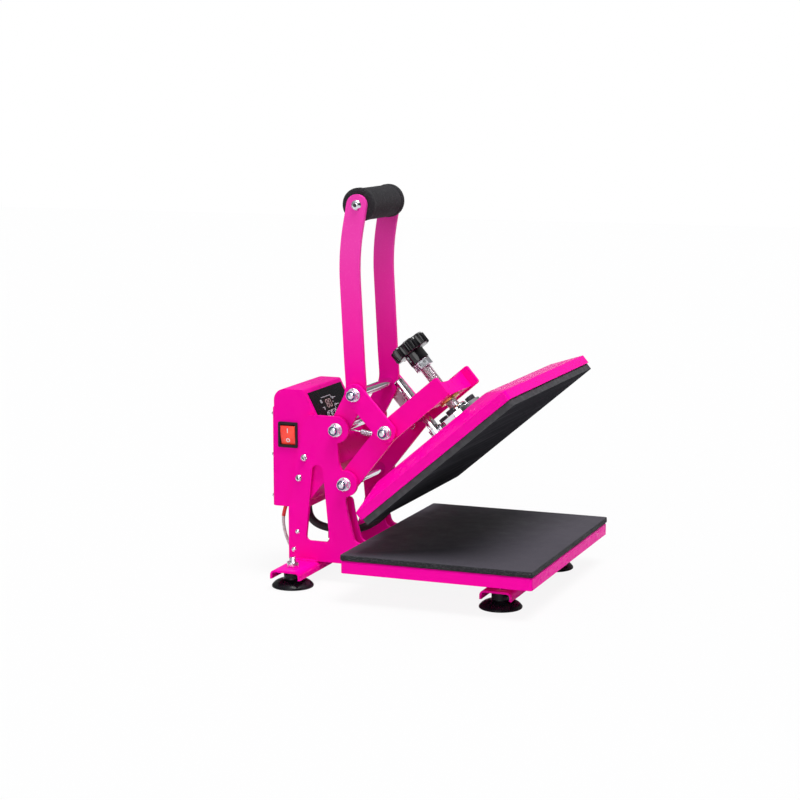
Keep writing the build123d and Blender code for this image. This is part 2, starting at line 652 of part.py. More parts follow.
def grip_screws():
    """A button-head screw at each end, with the plug inside the tube that it threads into."""
    y, z = grip_place()
    face = INNER_LAYER_X + PLATE_THICKNESS
    pieces = []
    for side in (-1, 1):
        screw = dome_screw(
            side * face, y, z, side, GRIP_SCREW_HEAD_DIAMETER, GRIP_SCREW_HEAD_HEIGHT,
            PLATE_THICKNESS, PIVOT_BOLT_DIAMETER,
        )
        ends = sorted((side * INNER_LAYER_X, side * (INNER_LAYER_X - 15.0)))
        plug = x_rod(GRIP_TUBE_DIAMETER / 2 - GRIP_TUBE_WALL, ends[0], ends[1], y, z)
        pieces.append(screw + plug)
    return pieces


def lever_bolt():
    return through_bolt(LEVER_END_Y, LEVER_END_Z, OUTER_FACE_X + SIDE_GAP)


def lever_bolt_fasteners():
    washers = gap_washers(LEVER_END_Y, LEVER_END_Z)
    return [locknut(LEVER_END_Y, LEVER_END_Z, OUTER_FACE_X + SIDE_GAP)] + washers


def lever_spacer():
    half = INNER_LAYER_X
    y, z = LEVER_END_Y, LEVER_END_Z
    return x_tube(LEVER_SPACER_DIAMETER / 2, PIVOT_BOLT_DIAMETER / 2, -half, half, y, z)


# ---------------------------------------------------------------- links
def link_side(side):
    """A flat bar with round ends, between the handle's lever and the arm."""
    angle = degrees(atan2(CRANK_END_Z - LEVER_END_Z, CRANK_END_Y - LEVER_END_Y))
    middle = Pos((CRANK_END_Y + LEVER_END_Y) / 2, (CRANK_END_Z + LEVER_END_Z) / 2)
    bar = middle * Rot(0, 0, angle) * SlotCenterToCenter(LINK_LENGTH, BAR_WIDTH)
    bar = bar - running_hole(LEVER_END_Y, LEVER_END_Z)
    bar = bar - Pos(CRANK_END_Y, CRANK_END_Z) * Circle(PIVOT_BOLT_DIAMETER / 2)
    return side_plate(bar, OUTER_LAYER_X, PLATE_THICKNESS, side)


def link_bolt():
    return through_bolt(CRANK_END_Y, CRANK_END_Z, OUTER_FACE_X)


def link_bolt_fasteners():
    return [locknut(CRANK_END_Y, CRANK_END_Z, OUTER_FACE_X)] + gap_washers(CRANK_END_Y, CRANK_END_Z)


# ---------------------------------------------------------------- arm
def arm_side(side):
    """One arm bar, drawn closed: up from the lower pivot to the link, then level to the front."""
    path = FilletPolyline(
        (LOWER_PIVOT_Y, LOWER_PIVOT_Z),
        (CLOSED_CRANK_Y, CLOSED_CRANK_Z),
        (ARM_FRONT_Y, CLOSED_CRANK_Z),
        radius=ARM_BEND_RADIUS,
    )
    bar = trace(path, BAR_WIDTH)
    bar = bar + Pos(LOWER_PIVOT_Y, LOWER_PIVOT_Z) * Circle(BAR_WIDTH / 2)
    bar = bar - running_hole(LOWER_PIVOT_Y, LOWER_PIVOT_Z)
    slot_width = PIVOT_BOLT_DIAMETER + 2 * SLOT_CLEARANCE
    slot = SlotCenterToCenter(SLOT_TRAVEL, slot_width)
    bar = bar - Pos(CLOSED_CRANK_Y - SLOT_TRAVEL / 2, CLOSED_CRANK_Z) * slot
    plate = side_plate(bar, INNER_LAYER_X, PLATE_THICKNESS, side)
    front_edges = plate.edges().filter_by(Axis.X).group_by(Axis.Y)[0]
    return tilt_open(fillet(front_edges, 3.0)) + spring_stud(side)


def cross_channel():
    """Channel between the arm bars, open upwards, with saddle-shaped webs and the screw's hole."""
    half = INNER_LAYER_X
    outer = box_between((-half, CROSS_FRONT_Y, CROSS_BOTTOM_Z), (half, CROSS_REAR_Y, ARM_TOP_Z))
    inner = box_between(
        (-half - 1, CROSS_FRONT_Y + CROSS_WEB_THICKNESS, CROSS_BOTTOM_Z + CROSS_WEB_THICKNESS),
        (half + 1, CROSS_REAR_Y - CROSS_WEB_THICKNESS, ARM_TOP_Z + 1),
    )
    saddle_radius = (half**2 + CROSS_SADDLE_DIP**2) / (2 * CROSS_SADDLE_DIP)
    saddle = Cylinder(saddle_radius, CROSS_DEPTH + 2)
    middle_y = (CROSS_FRONT_Y + CROSS_REAR_Y) / 2
    saddle_z = ARM_TOP_Z - CROSS_SADDLE_DIP + saddle_radius
    saddle = Pos(0, middle_y, saddle_z) * Rot(90, 0, 0) * saddle
    hole = z_rod(BRASS_NUT_DIAMETER / 2, CROSS_BOTTOM_Z - 1, ARM_TOP_Z, 0, SCREW_Y)
    return tilt_open(outer - inner - saddle - hole)


def screw_nut():
    """Flanged brass nut in the cross channel's floor."""
    body = z_rod(BRASS_NUT_DIAMETER / 2, CROSS_BOTTOM_Z, CROSS_BOTTOM_Z + BRASS_NUT_HEIGHT, 0, SCREW_Y)
    rim = z_rod(BRASS_NUT_FLANGE / 2, CROSS_BOTTOM_Z - BRASS_FLANGE_THICKNESS, CROSS_BOTTOM_Z, 0, SCREW_Y)
    bore = z_rod(SCREW_DIAMETER / 2 + RUNNING_CLEARANCE, CROSS_BOTTOM_Z - 10, ARM_TOP_Z + 10, 0, SCREW_Y)
    return tilt_open(body + rim - bore)


def guide_plate():
    """Flat plate between the arm bars, behind the cross channel, which carries the guide bush."""
    top = ARM_TOP_Z - GUIDE_PLATE_DROP
    front = POST_Y - GUIDE_PLATE_DEPTH / 2
    plate = box_between(
        (-INNER_LAYER_X, front, top - GUIDE_PLATE_THICKNESS),
        (INNER_LAYER_X, front + GUIDE_PLATE_DEPTH, top),
    )
    return tilt_open(plate - z_rod(GUIDE_BUSH_DIAMETER / 2, ARM_BOTTOM_Z, ARM_TOP_Z, 0, POST_Y))


def guide_bush():
    top = ARM_TOP_Z
    bush = z_rod(GUIDE_BUSH_DIAMETER / 2, top - GUIDE_BUSH_LENGTH, top, 0, POST_Y)
    bore = z_rod(POST_DIAMETER / 2 + RUNNING_CLEARANCE, ARM_BOTTOM_Z - 10, top + 10, 0, POST_Y)
    return tilt_open(bush - bore)


def spring_stud_place():
    """Where the springs hook on, in the open position: on the crank part of the arm bars."""
    y = LOWER_PIVOT_Y - SPRING_STUD_ALONG * cos(radians(CRANK_OPEN_ANGLE))
    z = LOWER_PIVOT_Z + SPRING_STUD_ALONG * sin(radians(CRANK_OPEN_ANGLE))
    return y, z


def spring_stud(side):
    """Stud welded to the inner face of one arm bar."""
    y, z = spring_stud_place()
    ends = sorted((side * (SPRING_X - SPRING_DIAMETER / 2), side * INNER_LAYER_X))
    return x_rod(SPRING_STUD_DIAMETER / 2, ends[0], ends[1], y, z)


def opening_springs():
    """Extension springs from the arm's studs back to the upper pivot's spacer."""
    y, z = spring_stud_place()
    run = Vector(0, UPPER_PIVOT_Y - y, UPPER_PIVOT_Z - z)
    direction = run.normalized()
    leg_start = SPRING_STUD_DIAMETER / 2 + LEAD_GAP
    leg_end = run.length - SPRING_UPPER_SEAT - LEAD_GAP
    springs = []
    for side in (-1, 1):
        foot = Plane(origin=(side * SPRING_X, y, z), z_dir=direction)
        leg = foot * Pos(0, 0, (leg_start + leg_end) / 2) * Cylinder(SPRING_WIRE / 2, leg_end - leg_start)
        coil_middle = SPRING_COIL_START + SPRING_COIL_LENGTH / 2
        coil = foot * Pos(0, 0, coil_middle) * Cylinder(SPRING_DIAMETER / 2, SPRING_COIL_LENGTH)
        springs.append(coil + leg)
    return springs


# ---------------------------------------------------------------- upper platen
def cover_form(width, depth, side_height, bevel_height, inset, bottom):
    """A low box whose top edges are broad bevels, as a solid."""
    sides = extrude(RectangleRounded(width, depth, 4.0), amount=side_height)
    top = Pos(0, 0, side_height) * RectangleRounded(width, depth, 4.0)
    crown = Pos(0, 0, side_height + bevel_height) * RectangleRounded(
        width - 2 * inset, depth - 2 * inset, 4.0
    )
    bevel = loft([top.face(), crown.face()])
    return Pos(0, CENTRE_Y, bottom) * (sides + bevel)


def heater_cover():
    outside = cover_form(
        COVER_WIDTH, COVER_DEPTH, COVER_SIDE_HEIGHT, COVER_BEVEL_HEIGHT, COVER_BEVEL_INSET, COVER_BOTTOM_Z
    )
    inside = cover_form(
        COVER_WIDTH - 2 * COVER_SHEET,
        COVER_DEPTH - 2 * COVER_SHEET,
        COVER_SIDE_HEIGHT,
        COVER_BEVEL_HEIGHT - COVER_SHEET,
        COVER_BEVEL_INSET,
        COVER_BOTTOM_Z,
    )
    shell = outside - inside
    for x, y in flange_bolt_places():
        shell = shell - z_rod(FLANGE_BOLT_DIAMETER / 2, COVER_BOTTOM_Z, COVER_TOP_Z + 1, x, y)
    gland_hole = lead_entry() * Cylinder(GLAND_DIAMETER / 2 - 2.0, 4 * COVER_SHEET)
    return tilt_open(shell - gland_hole)


def heater_plate():
    width = PLATEN_WIDTH - 2 * HEATER_PLATE_INSET
    depth = PLATEN_DEPTH - 2 * HEATER_PLATE_INSET
    plate = extrude(RectangleRounded(width, depth, 3.0), amount=HEATER_PLATE_THICKNESS)
    return tilt_open(Pos(0, CENTRE_Y, PLATE_BOTTOM_Z) * plate)


def inner_slab(bottom, thickness):
    """A flat slab inside the cover, clear of the bevels."""
    width = COVER_WIDTH - 2 * INNER_STACK_INSET
    depth = COVER_DEPTH - 2 * INNER_STACK_INSET
    return Pos(0, CENTRE_Y, bottom) * extrude(Rectangle(width, depth), amount=thickness)


def insulation():
    """Insulating slab, which fills the space between the heater plate and the stiffener plate."""
    thickness = COVER_TOP_Z - COVER_SHEET - STIFFENER_THICKNESS - COVER_BOTTOM_Z
    return tilt_open(inner_slab(COVER_BOTTOM_Z, thickness))


def stiffener_plate():
    """Steel plate under the cover's crown, which the flange bolts thread into."""
    bottom = COVER_TOP_Z - COVER_SHEET - STIFFENER_THICKNESS
    plate = inner_slab(bottom, STIFFENER_THICKNESS)
    for x, y in flange_bolt_places():
        plate = plate - z_rod(FLANGE_BOLT_DIAMETER / 2, bottom - 1, COVER_TOP_Z, x, y)
    return tilt_open(plate)


def mount_plate():
    """Plate on the cover that carries the screw's flange and the guide post."""
    middle = (SCREW_Y + POST_Y) / 2
    plate = extrude(
        RectangleRounded(MOUNT_PLATE_WIDTH, MOUNT_PLATE_LENGTH, 8.0), amount=MOUNT_PLATE_THICKNESS
    )
    plate = Pos(0, middle, COVER_TOP_Z) * plate
    for x, y in flange_bolt_places():
        plate = plate - z_rod(FLANGE_BOLT_DIAMETER / 2, COVER_TOP_Z - 1, MOUNT_TOP_Z + 1, x, y)
    return tilt_open(plate)


def flange_bolt_places():
    half = FLANGE_BOLT_CIRCLE / 2
    return ((half, SCREW_Y), (-half, SCREW_Y), (0, SCREW_Y + half), (0, SCREW_Y - half))


def bearing_flange():
    """Round flange with a hub in which the foot of the pressure screw turns."""
    disc = z_rod(FLANGE_DIAMETER / 2, MOUNT_TOP_Z, FLANGE_TOP_Z, 0, SCREW_Y)
    hub = z_rod(FLANGE_HUB_DIAMETER / 2, FLANGE_TOP_Z, FLANGE_TOP_Z + FLANGE_HUB_HEIGHT, 0, SCREW_Y)
    hub = chamfer(hub.edges().group_by(Axis.Z)[-1], 2.0)
    bore_bottom = FLANGE_TOP_Z + FLANGE_HUB_HEIGHT - SCREW_FOOT_DEPTH - SIDE_GAP
    bore = z_rod(SCREW_DIAMETER / 2 + RUNNING_CLEARANCE, bore_bottom, FLANGE_TOP_Z + 20, 0, SCREW_Y)
    body = disc + hub - bore
    for x, y in flange_bolt_places():
        body = body - z_rod(FLANGE_BOLT_DIAMETER / 2, MOUNT_TOP_Z - 1, FLANGE_TOP_Z + 1, x, y)
    return tilt_open(body)


def flange_bolts():
    """Hexagon bolts with washers, through the flange into the stiffener plate."""
    bolts = []
    bottom = COVER_TOP_Z - COVER_SHEET - STIFFENER_THICKNESS
    for x, y in flange_bolt_places():
        shank = z_rod(FLANGE_BOLT_DIAMETER / 2, bottom, FLANGE_TOP_Z, x, y)
        washer = z_rod(FLANGE_BOLT_FLATS / 2 + 0.8, FLANGE_TOP_Z, FLANGE_TOP_Z + 1.2, x, y)
        head = Pos(x, y, FLANGE_TOP_Z + 1.2) * hexagon_prism(FLANGE_BOLT_FLATS, FLANGE_BOLT_HEAD)
        bolts.append(tilt_open(shank + washer + head))
    return bolts


def guide_post():
    """Polished post with a collar at its foot; it slides in the arm's bush."""
    post = z_rod(POST_DIAMETER / 2, MOUNT_TOP_Z, LOWER_PIVOT_Z + POST_TOP_ABOVE_PIVOT, 0, POST_Y)
    post = chamfer(post.edges().group_by(Axis.Z)[-1], 1.0)
    collar = z_rod(POST_COLLAR_DIAMETER / 2, MOUNT_TOP_Z, MOUNT_TOP_Z + POST_COLLAR_HEIGHT, 0, POST_Y)
    return tilt_open(post + collar)


# ---------------------------------------------------------------- pressure screw
def pressure_screw():
    bottom = FLANGE_TOP_Z + FLANGE_HUB_HEIGHT - SCREW_FOOT_DEPTH
    return tilt_open(z_rod(SCREW_DIAMETER / 2, bottom, KNOB_BOTTOM_Z + KNOB_HUB_HEIGHT, 0, SCREW_Y))


def jam_nut():
    nut = hexagon_prism(JAM_NUT_FLATS, JAM_NUT_HEIGHT) - Cylinder(SCREW_DIAMETER / 2, 4 * JAM_NUT_HEIGHT)
    return tilt_open(Pos(0, SCREW_Y, KNOB_BOTTOM_Z - JAM_NUT_HEIGHT) * nut)


def star_knob():
    """Lobed knob: a hub with a disc whose rim is cut by round hollows between the lobes."""
    radius = KNOB_DIAMETER / 2
    star = Circle(radius)
    for lobe in range(KNOB_LOBES):
        turn = 360.0 * (lobe + 0.5) / KNOB_LOBES
        star = star - Rot(0, 0, turn) * Pos(radius + 2.0, 0) * Circle(0.27 * radius)
    star = extrude(star, amount=KNOB_THICKNESS)
    hub = extrude(Circle(KNOB_HUB_DIAMETER / 2), amount=KNOB_HUB_HEIGHT)
    knob = hub + Pos(0, 0, KNOB_HUB_HEIGHT) * star
    bore = extrude(Circle(SCREW_DIAMETER / 2), amount=KNOB_HUB_HEIGHT)
    return tilt_open(Pos(0, SCREW_Y, KNOB_BOTTOM_Z) * (knob - bore))


# ---------------------------------------------------------------- control box
def box_outline(shrink):
    """Side outline of the box, with every wall moved inwards by shrink."""
    points = [
        (BOX_REAR_FROM_CENTRE, BOX_BOTTOM),
        (BOX_REAR_FROM_CENTRE, BOX_TOP),
        (BOX_TOP_FRONT_FROM_CENTRE, BOX_TOP),
        (BOX_NOSE_FROM_CENTRE, BOX_NOSE_HEIGHT),
        (BOX_UNDERSIDE_FROM_CENTRE, BOX_UNDERSIDE_HEIGHT),
        (BOX_UNDERSIDE_FROM_CENTRE, BOX_BOTTOM),
    ]
    edge = BOX_EDGE_RADIUS
    outline = yz(points, [1.0, BOX_CROWN_RADIUS, edge, edge, edge, edge])
    if shrink:
        outline = offset(outline, amount=-shrink)
    return outline


def control_box():
    """Bent sheet box: top, slanted face, sloping underside and sides, open at the rear."""
    outside = side_plate(box_outline(0), -BOX_HALF_WIDTH, 2 * BOX_HALF_WIDTH, 1)
    half_inside = BOX_HALF_WIDTH - BOX_SHEET
    inside = side_plate(box_outline(BOX_SHEET), -half_inside, 2 * half_inside, 1)
    rear = CENTRE_Y + BOX_REAR_FROM_CENTRE
    opening = box_between(
        (-half_inside, rear - 20, BOX_BOTTOM + BOX_SHEET), (half_inside, rear + 1, REAR_COVER_TOP - 4)
    )
    shell = outside - inside - opening
    shell = shell - panel_recess() - switch_cutout()
    for x, y in vent_places():
        shell = shell - Pos(x, y, BOX_BOTTOM) * extrude(SlotOverall(26, 4), amount=3 * BOX_SHEET, both=True)
    gland_y = CENTRE_Y + GLAND_FROM_CENTRE
    shell = shell - z_rod(GLAND_DIAMETER / 2 - 2, BOX_BOTTOM - 1, BOX_BOTTOM + 5, GLAND_X, gland_y)
    for side in (-1, 1):
        for y, z in box_screw_places():
            wall = side * BOX_HALF_WIDTH
            shell = shell - x_rod(SCREW_SHANK_DIAMETER / 2, wall - 3, wall + 3, y, z)
    return shell


def vent_places():
    return [(x, CENTRE_Y + BOX_TOP_FRONT_FROM_CENTRE + 5.0) for x in (-38.0, 0.0, 38.0)]


def on_display(across, down, height):
    """A place on the slanted face: across the width, down from its top edge, proud by height."""
    return DISPLAY_PLANE * Pos(across, -down, height)


def panel_recess():
    opening = on_display(0, PANEL_FROM_TOP + PANEL_LENGTH / 2, 0)
    return opening * Box(PANEL_WIDTH - 10, PANEL_LENGTH - 8, 4 * BOX_SHEET)


def display_panel():
    """Thin black front plate, with a window opening and holes for the buttons."""
    plate = Box(PANEL_WIDTH, PANEL_LENGTH, PANEL_THICKNESS)
    window_down = WINDOW_FROM_PANEL_TOP - PANEL_LENGTH / 2
    window = Box(WINDOW_WIDTH, WINDOW_LENGTH, 4 * PANEL_THICKNESS)
    plate = plate - Pos(DISPLAY_OFFSET, -window_down, 0) * window
    buttons_down = BUTTONS_FROM_PANEL_TOP - PANEL_LENGTH / 2
    hole = Cylinder(BUTTON_DIAMETER / 2 + BUTTON_CLEARANCE, 4 * PANEL_THICKNESS)
    for x in button_offsets():
        plate = plate - Pos(x, -buttons_down, 0) * hole
    place = on_display(0, PANEL_FROM_TOP + PANEL_LENGTH / 2, PANEL_THICKNESS / 2)
    return place * plate


def display_window():
    """Clear cover of the digits, with its display module behind it."""
    thickness = PANEL_THICKNESS + 6.0
    block = Box(WINDOW_WIDTH, WINDOW_LENGTH, thickness)
    down = PANEL_FROM_TOP + WINDOW_FROM_PANEL_TOP
    return on_display(DISPLAY_OFFSET, down, PANEL_THICKNESS - thickness / 2) * block


def button_offsets():
    first = DISPLAY_OFFSET - (BUTTON_COUNT - 1) * BUTTON_PITCH / 2
    return [first + i * BUTTON_PITCH for i in range(BUTTON_COUNT)]


def panel_button(across):
    down = PANEL_FROM_TOP + BUTTONS_FROM_PANEL_TOP
    height = PANEL_THICKNESS + BUTTON_PROUD + BUTTON_STEM
    cap = Cylinder(BUTTON_DIAMETER / 2, height)
    cap = chamfer(cap.edges().group_by(Axis.Z)[-1], 0.4)
    return on_display(across, down, PANEL_THICKNESS + BUTTON_PROUD - height / 2) * cap


def circuit_board():
    """Controller board behind the panel, with its relay, transformer and four pillars."""
    board_width = PANEL_WIDTH - 14.0
    board_length = PANEL_LENGTH - 10.0
    front = BUTTON_TRAVEL + BUTTON_STEM + BOARD_GAP
    board = Pos(0, 0, -front - BOARD_THICKNESS / 2) * Box(board_width, board_length, BOARD_THICKNESS)
    back = -front - BOARD_THICKNESS
    relay = Pos(-22, -6, back - 6) * Box(19, 15.5, 12)
    transformer = Pos(18, 2, back - 8) * Box(28, 24, 16)
    body = board + relay + transformer
    pillar_length = front - BOX_SHEET
    for x in (-1, 1):
        for y in (-1, 1):
            corner = Pos(x * (board_width / 2 + 1.0), y * (board_length / 2 - 4.0), 0)
            body = body + corner * Pos(0, 0, -BOX_SHEET - pillar_length / 2) * Cylinder(2.5, pillar_length)
    return on_display(0, PANEL_FROM_TOP + PANEL_LENGTH / 2, 0) * body


def switch_cutout():
    half_depth = SWITCH_WIDTH / 2 - SWITCH_RIM
    half_height = SWITCH_HEIGHT / 2 - SWITCH_RIM
    y = CENTRE_Y + SWITCH_FROM_CENTRE
    return box_between(
        (-BOX_HALF_WIDTH - 1, y - half_depth, SWITCH_LEVEL - half_height),
        (-BOX_HALF_WIDTH + 5, y + half_depth, SWITCH_LEVEL + half_height),
    )


def switch_housing():
    """Snap-in rocker switch body with its rim, open where the rocker sits."""
    y = CENTRE_Y + SWITCH_FROM_CENTRE
    face = -BOX_HALF_WIDTH
    rim = box_between(
        (face - 2.0, y - SWITCH_WIDTH / 2, SWITCH_LEVEL - SWITCH_HEIGHT / 2),
        (face, y + SWITCH_WIDTH / 2, SWITCH_LEVEL + SWITCH_HEIGHT / 2),
    )
    rim = fillet(rim.edges().filter_by(Axis.X), 1.5)
    half_depth = SWITCH_WIDTH / 2 - SWITCH_RIM
    half_height = SWITCH_HEIGHT / 2 - SWITCH_RIM
    body = box_between(
        (face, y - half_depth, SWITCH_LEVEL - half_height),
        (face + SWITCH_BODY_DEPTH, y + half_depth, SWITCH_LEVEL + half_height),
    )
    well_half_y = ROCKER_WIDTH / 2 + ROCKER_CLEARANCE
    well_half_z = ROCKER_HEIGHT / 2 + ROCKER_CLEARANCE
    well = box_between(
        (face - 3, y - well_half_y, SWITCH_LEVEL - well_half_z),
        (face + 9, y + well_half_y, SWITCH_LEVEL + well_half_z),
    )
    pins = [
        box_between((face + SWITCH_BODY_DEPTH, y + dy - 3, SWITCH_LEVEL + dz - 0.5),
                    (face + SWITCH_BODY_DEPTH + 8, y + dy + 3, SWITCH_LEVEL + dz + 0.5))
        for dy in (-5, 5) for dz in (-6, 6)
    ]
    housing = rim + body - well
    for pin in pins:
        housing = housing + pin
    return housing


def rocker():
    """Rocker cap, shallow V in section, tilted about its own pin; drawn at its middle first."""
    y = CENTRE_Y + SWITCH_FROM_CENTRE
    half = ROCKER_HEIGHT / 2
    face = -BOX_HALF_WIDTH
    outline = make_face(
        Polyline(
            (face - 1.0, -half), (face + 5.0, -half + 1.5), (face + 5.0, half - 1.5),
            (face - 1.0, half), (face - 2.2, 0), close=True,
        )
    )
    cap = extrude(Plane.XZ * outline, amount=ROCKER_WIDTH / 2, both=True)
    pin_x = face + 3.0
    cap = Pos(pin_x, 0, 0) * Rot(0, -ROCKER_TILT, 0) * Pos(-pin_x, 0, 0) * cap
    return Pos(0, y, SWITCH_LEVEL) * cap


def box_rear_cover():
    """Flat plate over the open rear of the box."""
    rear = CENTRE_Y + BOX_REAR_FROM_CENTRE
    plate = box_between(
        (-BOX_HALF_WIDTH, rear, BOX_BOTTOM), (BOX_HALF_WIDTH, rear + REAR_COVER_SHEET, REAR_COVER_TOP)
    )
    plate = fillet(plate.edges().filter_by(Axis.Y), 2.0)
    return plate - inlet_block(0.0)


def rear_screws():
    """Round-head screws along both edges of the rear cover."""
    screws = []
    for side in (-1, 1):
        for height in REAR_SCREW_HEIGHTS:
            x = side * (BOX_HALF_WIDTH - 5.0)
            rear = BOX_REAR_FROM_CENTRE + REAR_COVER_SHEET
            head = dome_screw(0, 0, 0, 1, 6.5, SCREW_HEAD_HEIGHT)
            screws.append(Pos(x, CENTRE_Y + rear, height) * Rot(0, 0, 90) * head)
    return screws


def inlet_block(proud):
    rear = CENTRE_Y + BOX_REAR_FROM_CENTRE + REAR_COVER_SHEET
    return box_between(
        (INLET_X - INLET_WIDTH / 2, rear - 24.0, INLET_Z - INLET_HEIGHT / 2),
        (INLET_X + INLET_WIDTH / 2, rear + proud, INLET_Z + INLET_HEIGHT / 2),
    )


def power_inlet():
    """Three-pin mains inlet in the rear cover, with a flange outside and a socket well."""
    rear = CENTRE_Y + BOX_REAR_FROM_CENTRE + REAR_COVER_SHEET
    block = inlet_block(0.0)
    rim = box_between(
        (INLET_X - INLET_WIDTH / 2 - 4, rear, INLET_Z - INLET_HEIGHT / 2 - 3),
        (INLET_X + INLET_WIDTH / 2 + 4, rear + 2.0, INLET_Z + INLET_HEIGHT / 2 + 3),
    )
    rim = fillet(rim.edges().filter_by(Axis.Y), 3.0)
    well = box_between((INLET_X - 12, rear - 17, INLET_Z - 8), (INLET_X + 12, rear + 3, INLET_Z + 8))
    body = block + rim - well
    for dx, dz in ((-7, -2), (7, -2), (0, 3)):
        body = body + box_between(
            (INLET_X + dx - 1, rear - 18, INLET_Z + dz - 2), (INLET_X + dx + 1, rear - 3, INLET_Z + dz + 2)
        )
    return body


# ---------------------------------------------------------------- leads
# the heater lead's route from the box's gland, up to the run that enters the platen's gland
LEAD_ROUTE = [
    (GLAND_X, CENTRE_Y + 222.5, 76.2),
    (GLAND_X, CENTRE_Y + 222.2, 70.0),
    (GLAND_X, CENTRE_Y + 220.3, 62.0),
    (GLAND_X, CENTRE_Y + 215.0, 55.3),
    (GLAND_X, CENTRE_Y + 206.5, 51.0),
    (GLAND_X, CENTRE_Y + 194.0, 48.6),
    (GLAND_X, CENTRE_Y + 179.0, 47.8),
    (GLAND_X, CENTRE_Y + 162.0, 49.0),
    (GLAND_X, CENTRE_Y + 144.0, 55.0),
    (GLAND_X, CENTRE_Y + 126.0, 67.5),
]
# the earth strap's route from the box down to the rear channel
STRAP_ROUTE = [
    (STRAP_X, CENTRE_Y + 228.0, 84.6),
    (STRAP_X, CENTRE_Y + 232.0, 73.0),
    (STRAP_X, CENTRE_Y + 231.0, 57.0),
    (STRAP_X, CENTRE_Y + 226.0, 42.0),
    (STRAP_X, CENTRE_Y + 219.4, 30.0),
    (STRAP_X, CENTRE_Y + 218.9, 15.0),
]


def lead_entry():
    """Middle of the gland's hole in the cover's rear wall, drawn closed; its z runs rearwards."""
    wall_y = CENTRE_Y + COVER_DEPTH / 2
    return Pos(GLAND_X, wall_y, COVER_BOTTOM_Z + COVER_SIDE_HEIGHT / 2) * Rot(-90, 0, 0)


def tube_along(points, diameter):
    """A round tube along straight runs joined by tangent arcs."""
    runs = [(Vector(*b) - Vector(*a)).length for a, b in zip(points, points[1:])]
    radii = []
    for i in range(1, len(points) - 1):
        before = Vector(*points[i]) - Vector(*points[i - 1])
        after = Vector(*points[i + 1]) - Vector(*points[i])
        half_turn = radians(before.get_angle(after)) / 2
        radii.append(0.45 * min(runs[i - 1], runs[i]) * cos(half_turn) / sin(half_turn))
    print("arc radii", [round(r, 1) for r in radii])
    path = FilletPolyline(*points, radius=radii)
    section = Plane(origin=path @ 0, z_dir=path % 0) * Circle(diameter / 2)
    return sweep(section, path=path)


def heater_lead():
    gland = tilt_open(lead_entry() * Pos(0, 0, GLAND_LENGTH + LEAD_GAP))
    end = gland.position
    inward = tilt_open(lead_entry() * Pos(0, 0, GLAND_LENGTH + LEAD_GAP + 14.0)).position
    points = LEAD_ROUTE + [(inward.X, inward.Y, inward.Z), (end.X, end.Y, end.Z)]
    return tube_along(points, LEAD_DIAMETER)


def box_gland():
    """The gland under the control box."""
    top = BOX_BOTTOM
    collar = z_rod(GLAND_DIAMETER / 2, top - GLAND_LENGTH, top, GLAND_X, CENTRE_Y + GLAND_FROM_CENTRE)
    neck = z_rod(GLAND_DIAMETER / 2 - 2, top, top + BOX_SHEET + 3, GLAND_X, CENTRE_Y + GLAND_FROM_CENTRE)
    return collar + neck


def platen_gland():
    collar = lead_entry() * Pos(0, 0, GLAND_LENGTH / 2) * Cylinder(GLAND_DIAMETER / 2 - 2.5, GLAND_LENGTH)
    return tilt_open(collar)


def earth_strap():
    return tube_along(STRAP_ROUTE, STRAP_DIAMETER)


# ---------------------------------------------------------------- build
def all_parts():
    parts = {
        "base_tray": base_tray(),
        "lower_pad": lower_pad(),
        "front_channel": channel(-FRONT_CHANNEL_FROM_CENTRE, FRONT_FOOT_SPACING),
        "rear_channel": channel(REAR_CHANNEL_FROM_CENTRE, REAR_FOOT_SPACING),
        "foot_cups": foot_cups(),
        "foot_studs": foot_studs(),
        "left_upright": upright(-1),
        "right_upright": upright(1),
        "inner_cheeks": inner_cheeks(),
        "frame_rivets": frame_rivets(),
        "box_screws": box_side_screws() + rear_screws(),
        "frame_pivot_bolts": frame_pivot_bolts(),
        "frame_pivot_fasteners": frame_pivot_fasteners(),
        "frame_pivot_spacers": frame_pivot_spacers(),
        "handle_left": handle_side(-1),
        "handle_right": handle_side(1),
        "grip_tube": grip_tube(),
        "foam_grip": foam_grip(),
        "grip_screws": grip_screws(),
        "lever_bolt": lever_bolt(),
        "lever_bolt_fasteners": lever_bolt_fasteners(),
        "lever_spacer": lever_spacer(),
        "link_left": link_side(-1),
        "link_right": link_side(1),
        "link_bolt": link_bolt(),
        "link_bolt_fasteners": link_bolt_fasteners(),
        "arm_left": arm_side(-1),
        "arm_right": arm_side(1),
        "cross_channel": cross_channel(),
        "screw_nut": screw_nut(),
        "guide_plate": guide_plate(),
        "guide_bush": guide_bush(),
        "opening_springs": opening_springs(),
        "heater_cover": heater_cover(),
        "heater_plate": heater_plate(),
        "insulation": insulation(),
        "stiffener_plate": stiffener_plate(),
        "mount_plate": mount_plate(),
        "bearing_flange": bearing_flange(),
        "flange_bolts": flange_bolts(),
        "guide_post": guide_post(),
        "platen_gland": platen_gland(),
        "pressure_screw": pressure_screw(),
        "jam_nut": jam_nut(),
        "star_knob": star_knob(),
        "control_box": control_box(),
        "box_rear_cover": box_rear_cover(),
        "display_panel": display_panel(),
        "display_window": display_window(),
        "circuit_board": circuit_board(),
        "switch_housing": switch_housing(),
        "rocker": rocker(),
        "power_inlet": power_inlet(),
        "box_gland": box_gland(),
        "heater_lead": heater_lead(),
        "earth_strap": earth_strap(),
    }
    for number, across in enumerate(button_offsets(), start=1):
        parts[f"button_{number}"] = panel_button(across)
    return parts


def main():
    os.makedirs("parts", exist_ok=True)
    handle_turn, link_turn = closure_turns()
    print("handle turns", round(handle_turn, 3), "link turns", round(link_turn, 3))
    for name, shape in all_parts().items():
        if isinstance(shape, list):
            shape = Compound(children=shape)
        export_step(shape, f"parts/{name}.step")


main()
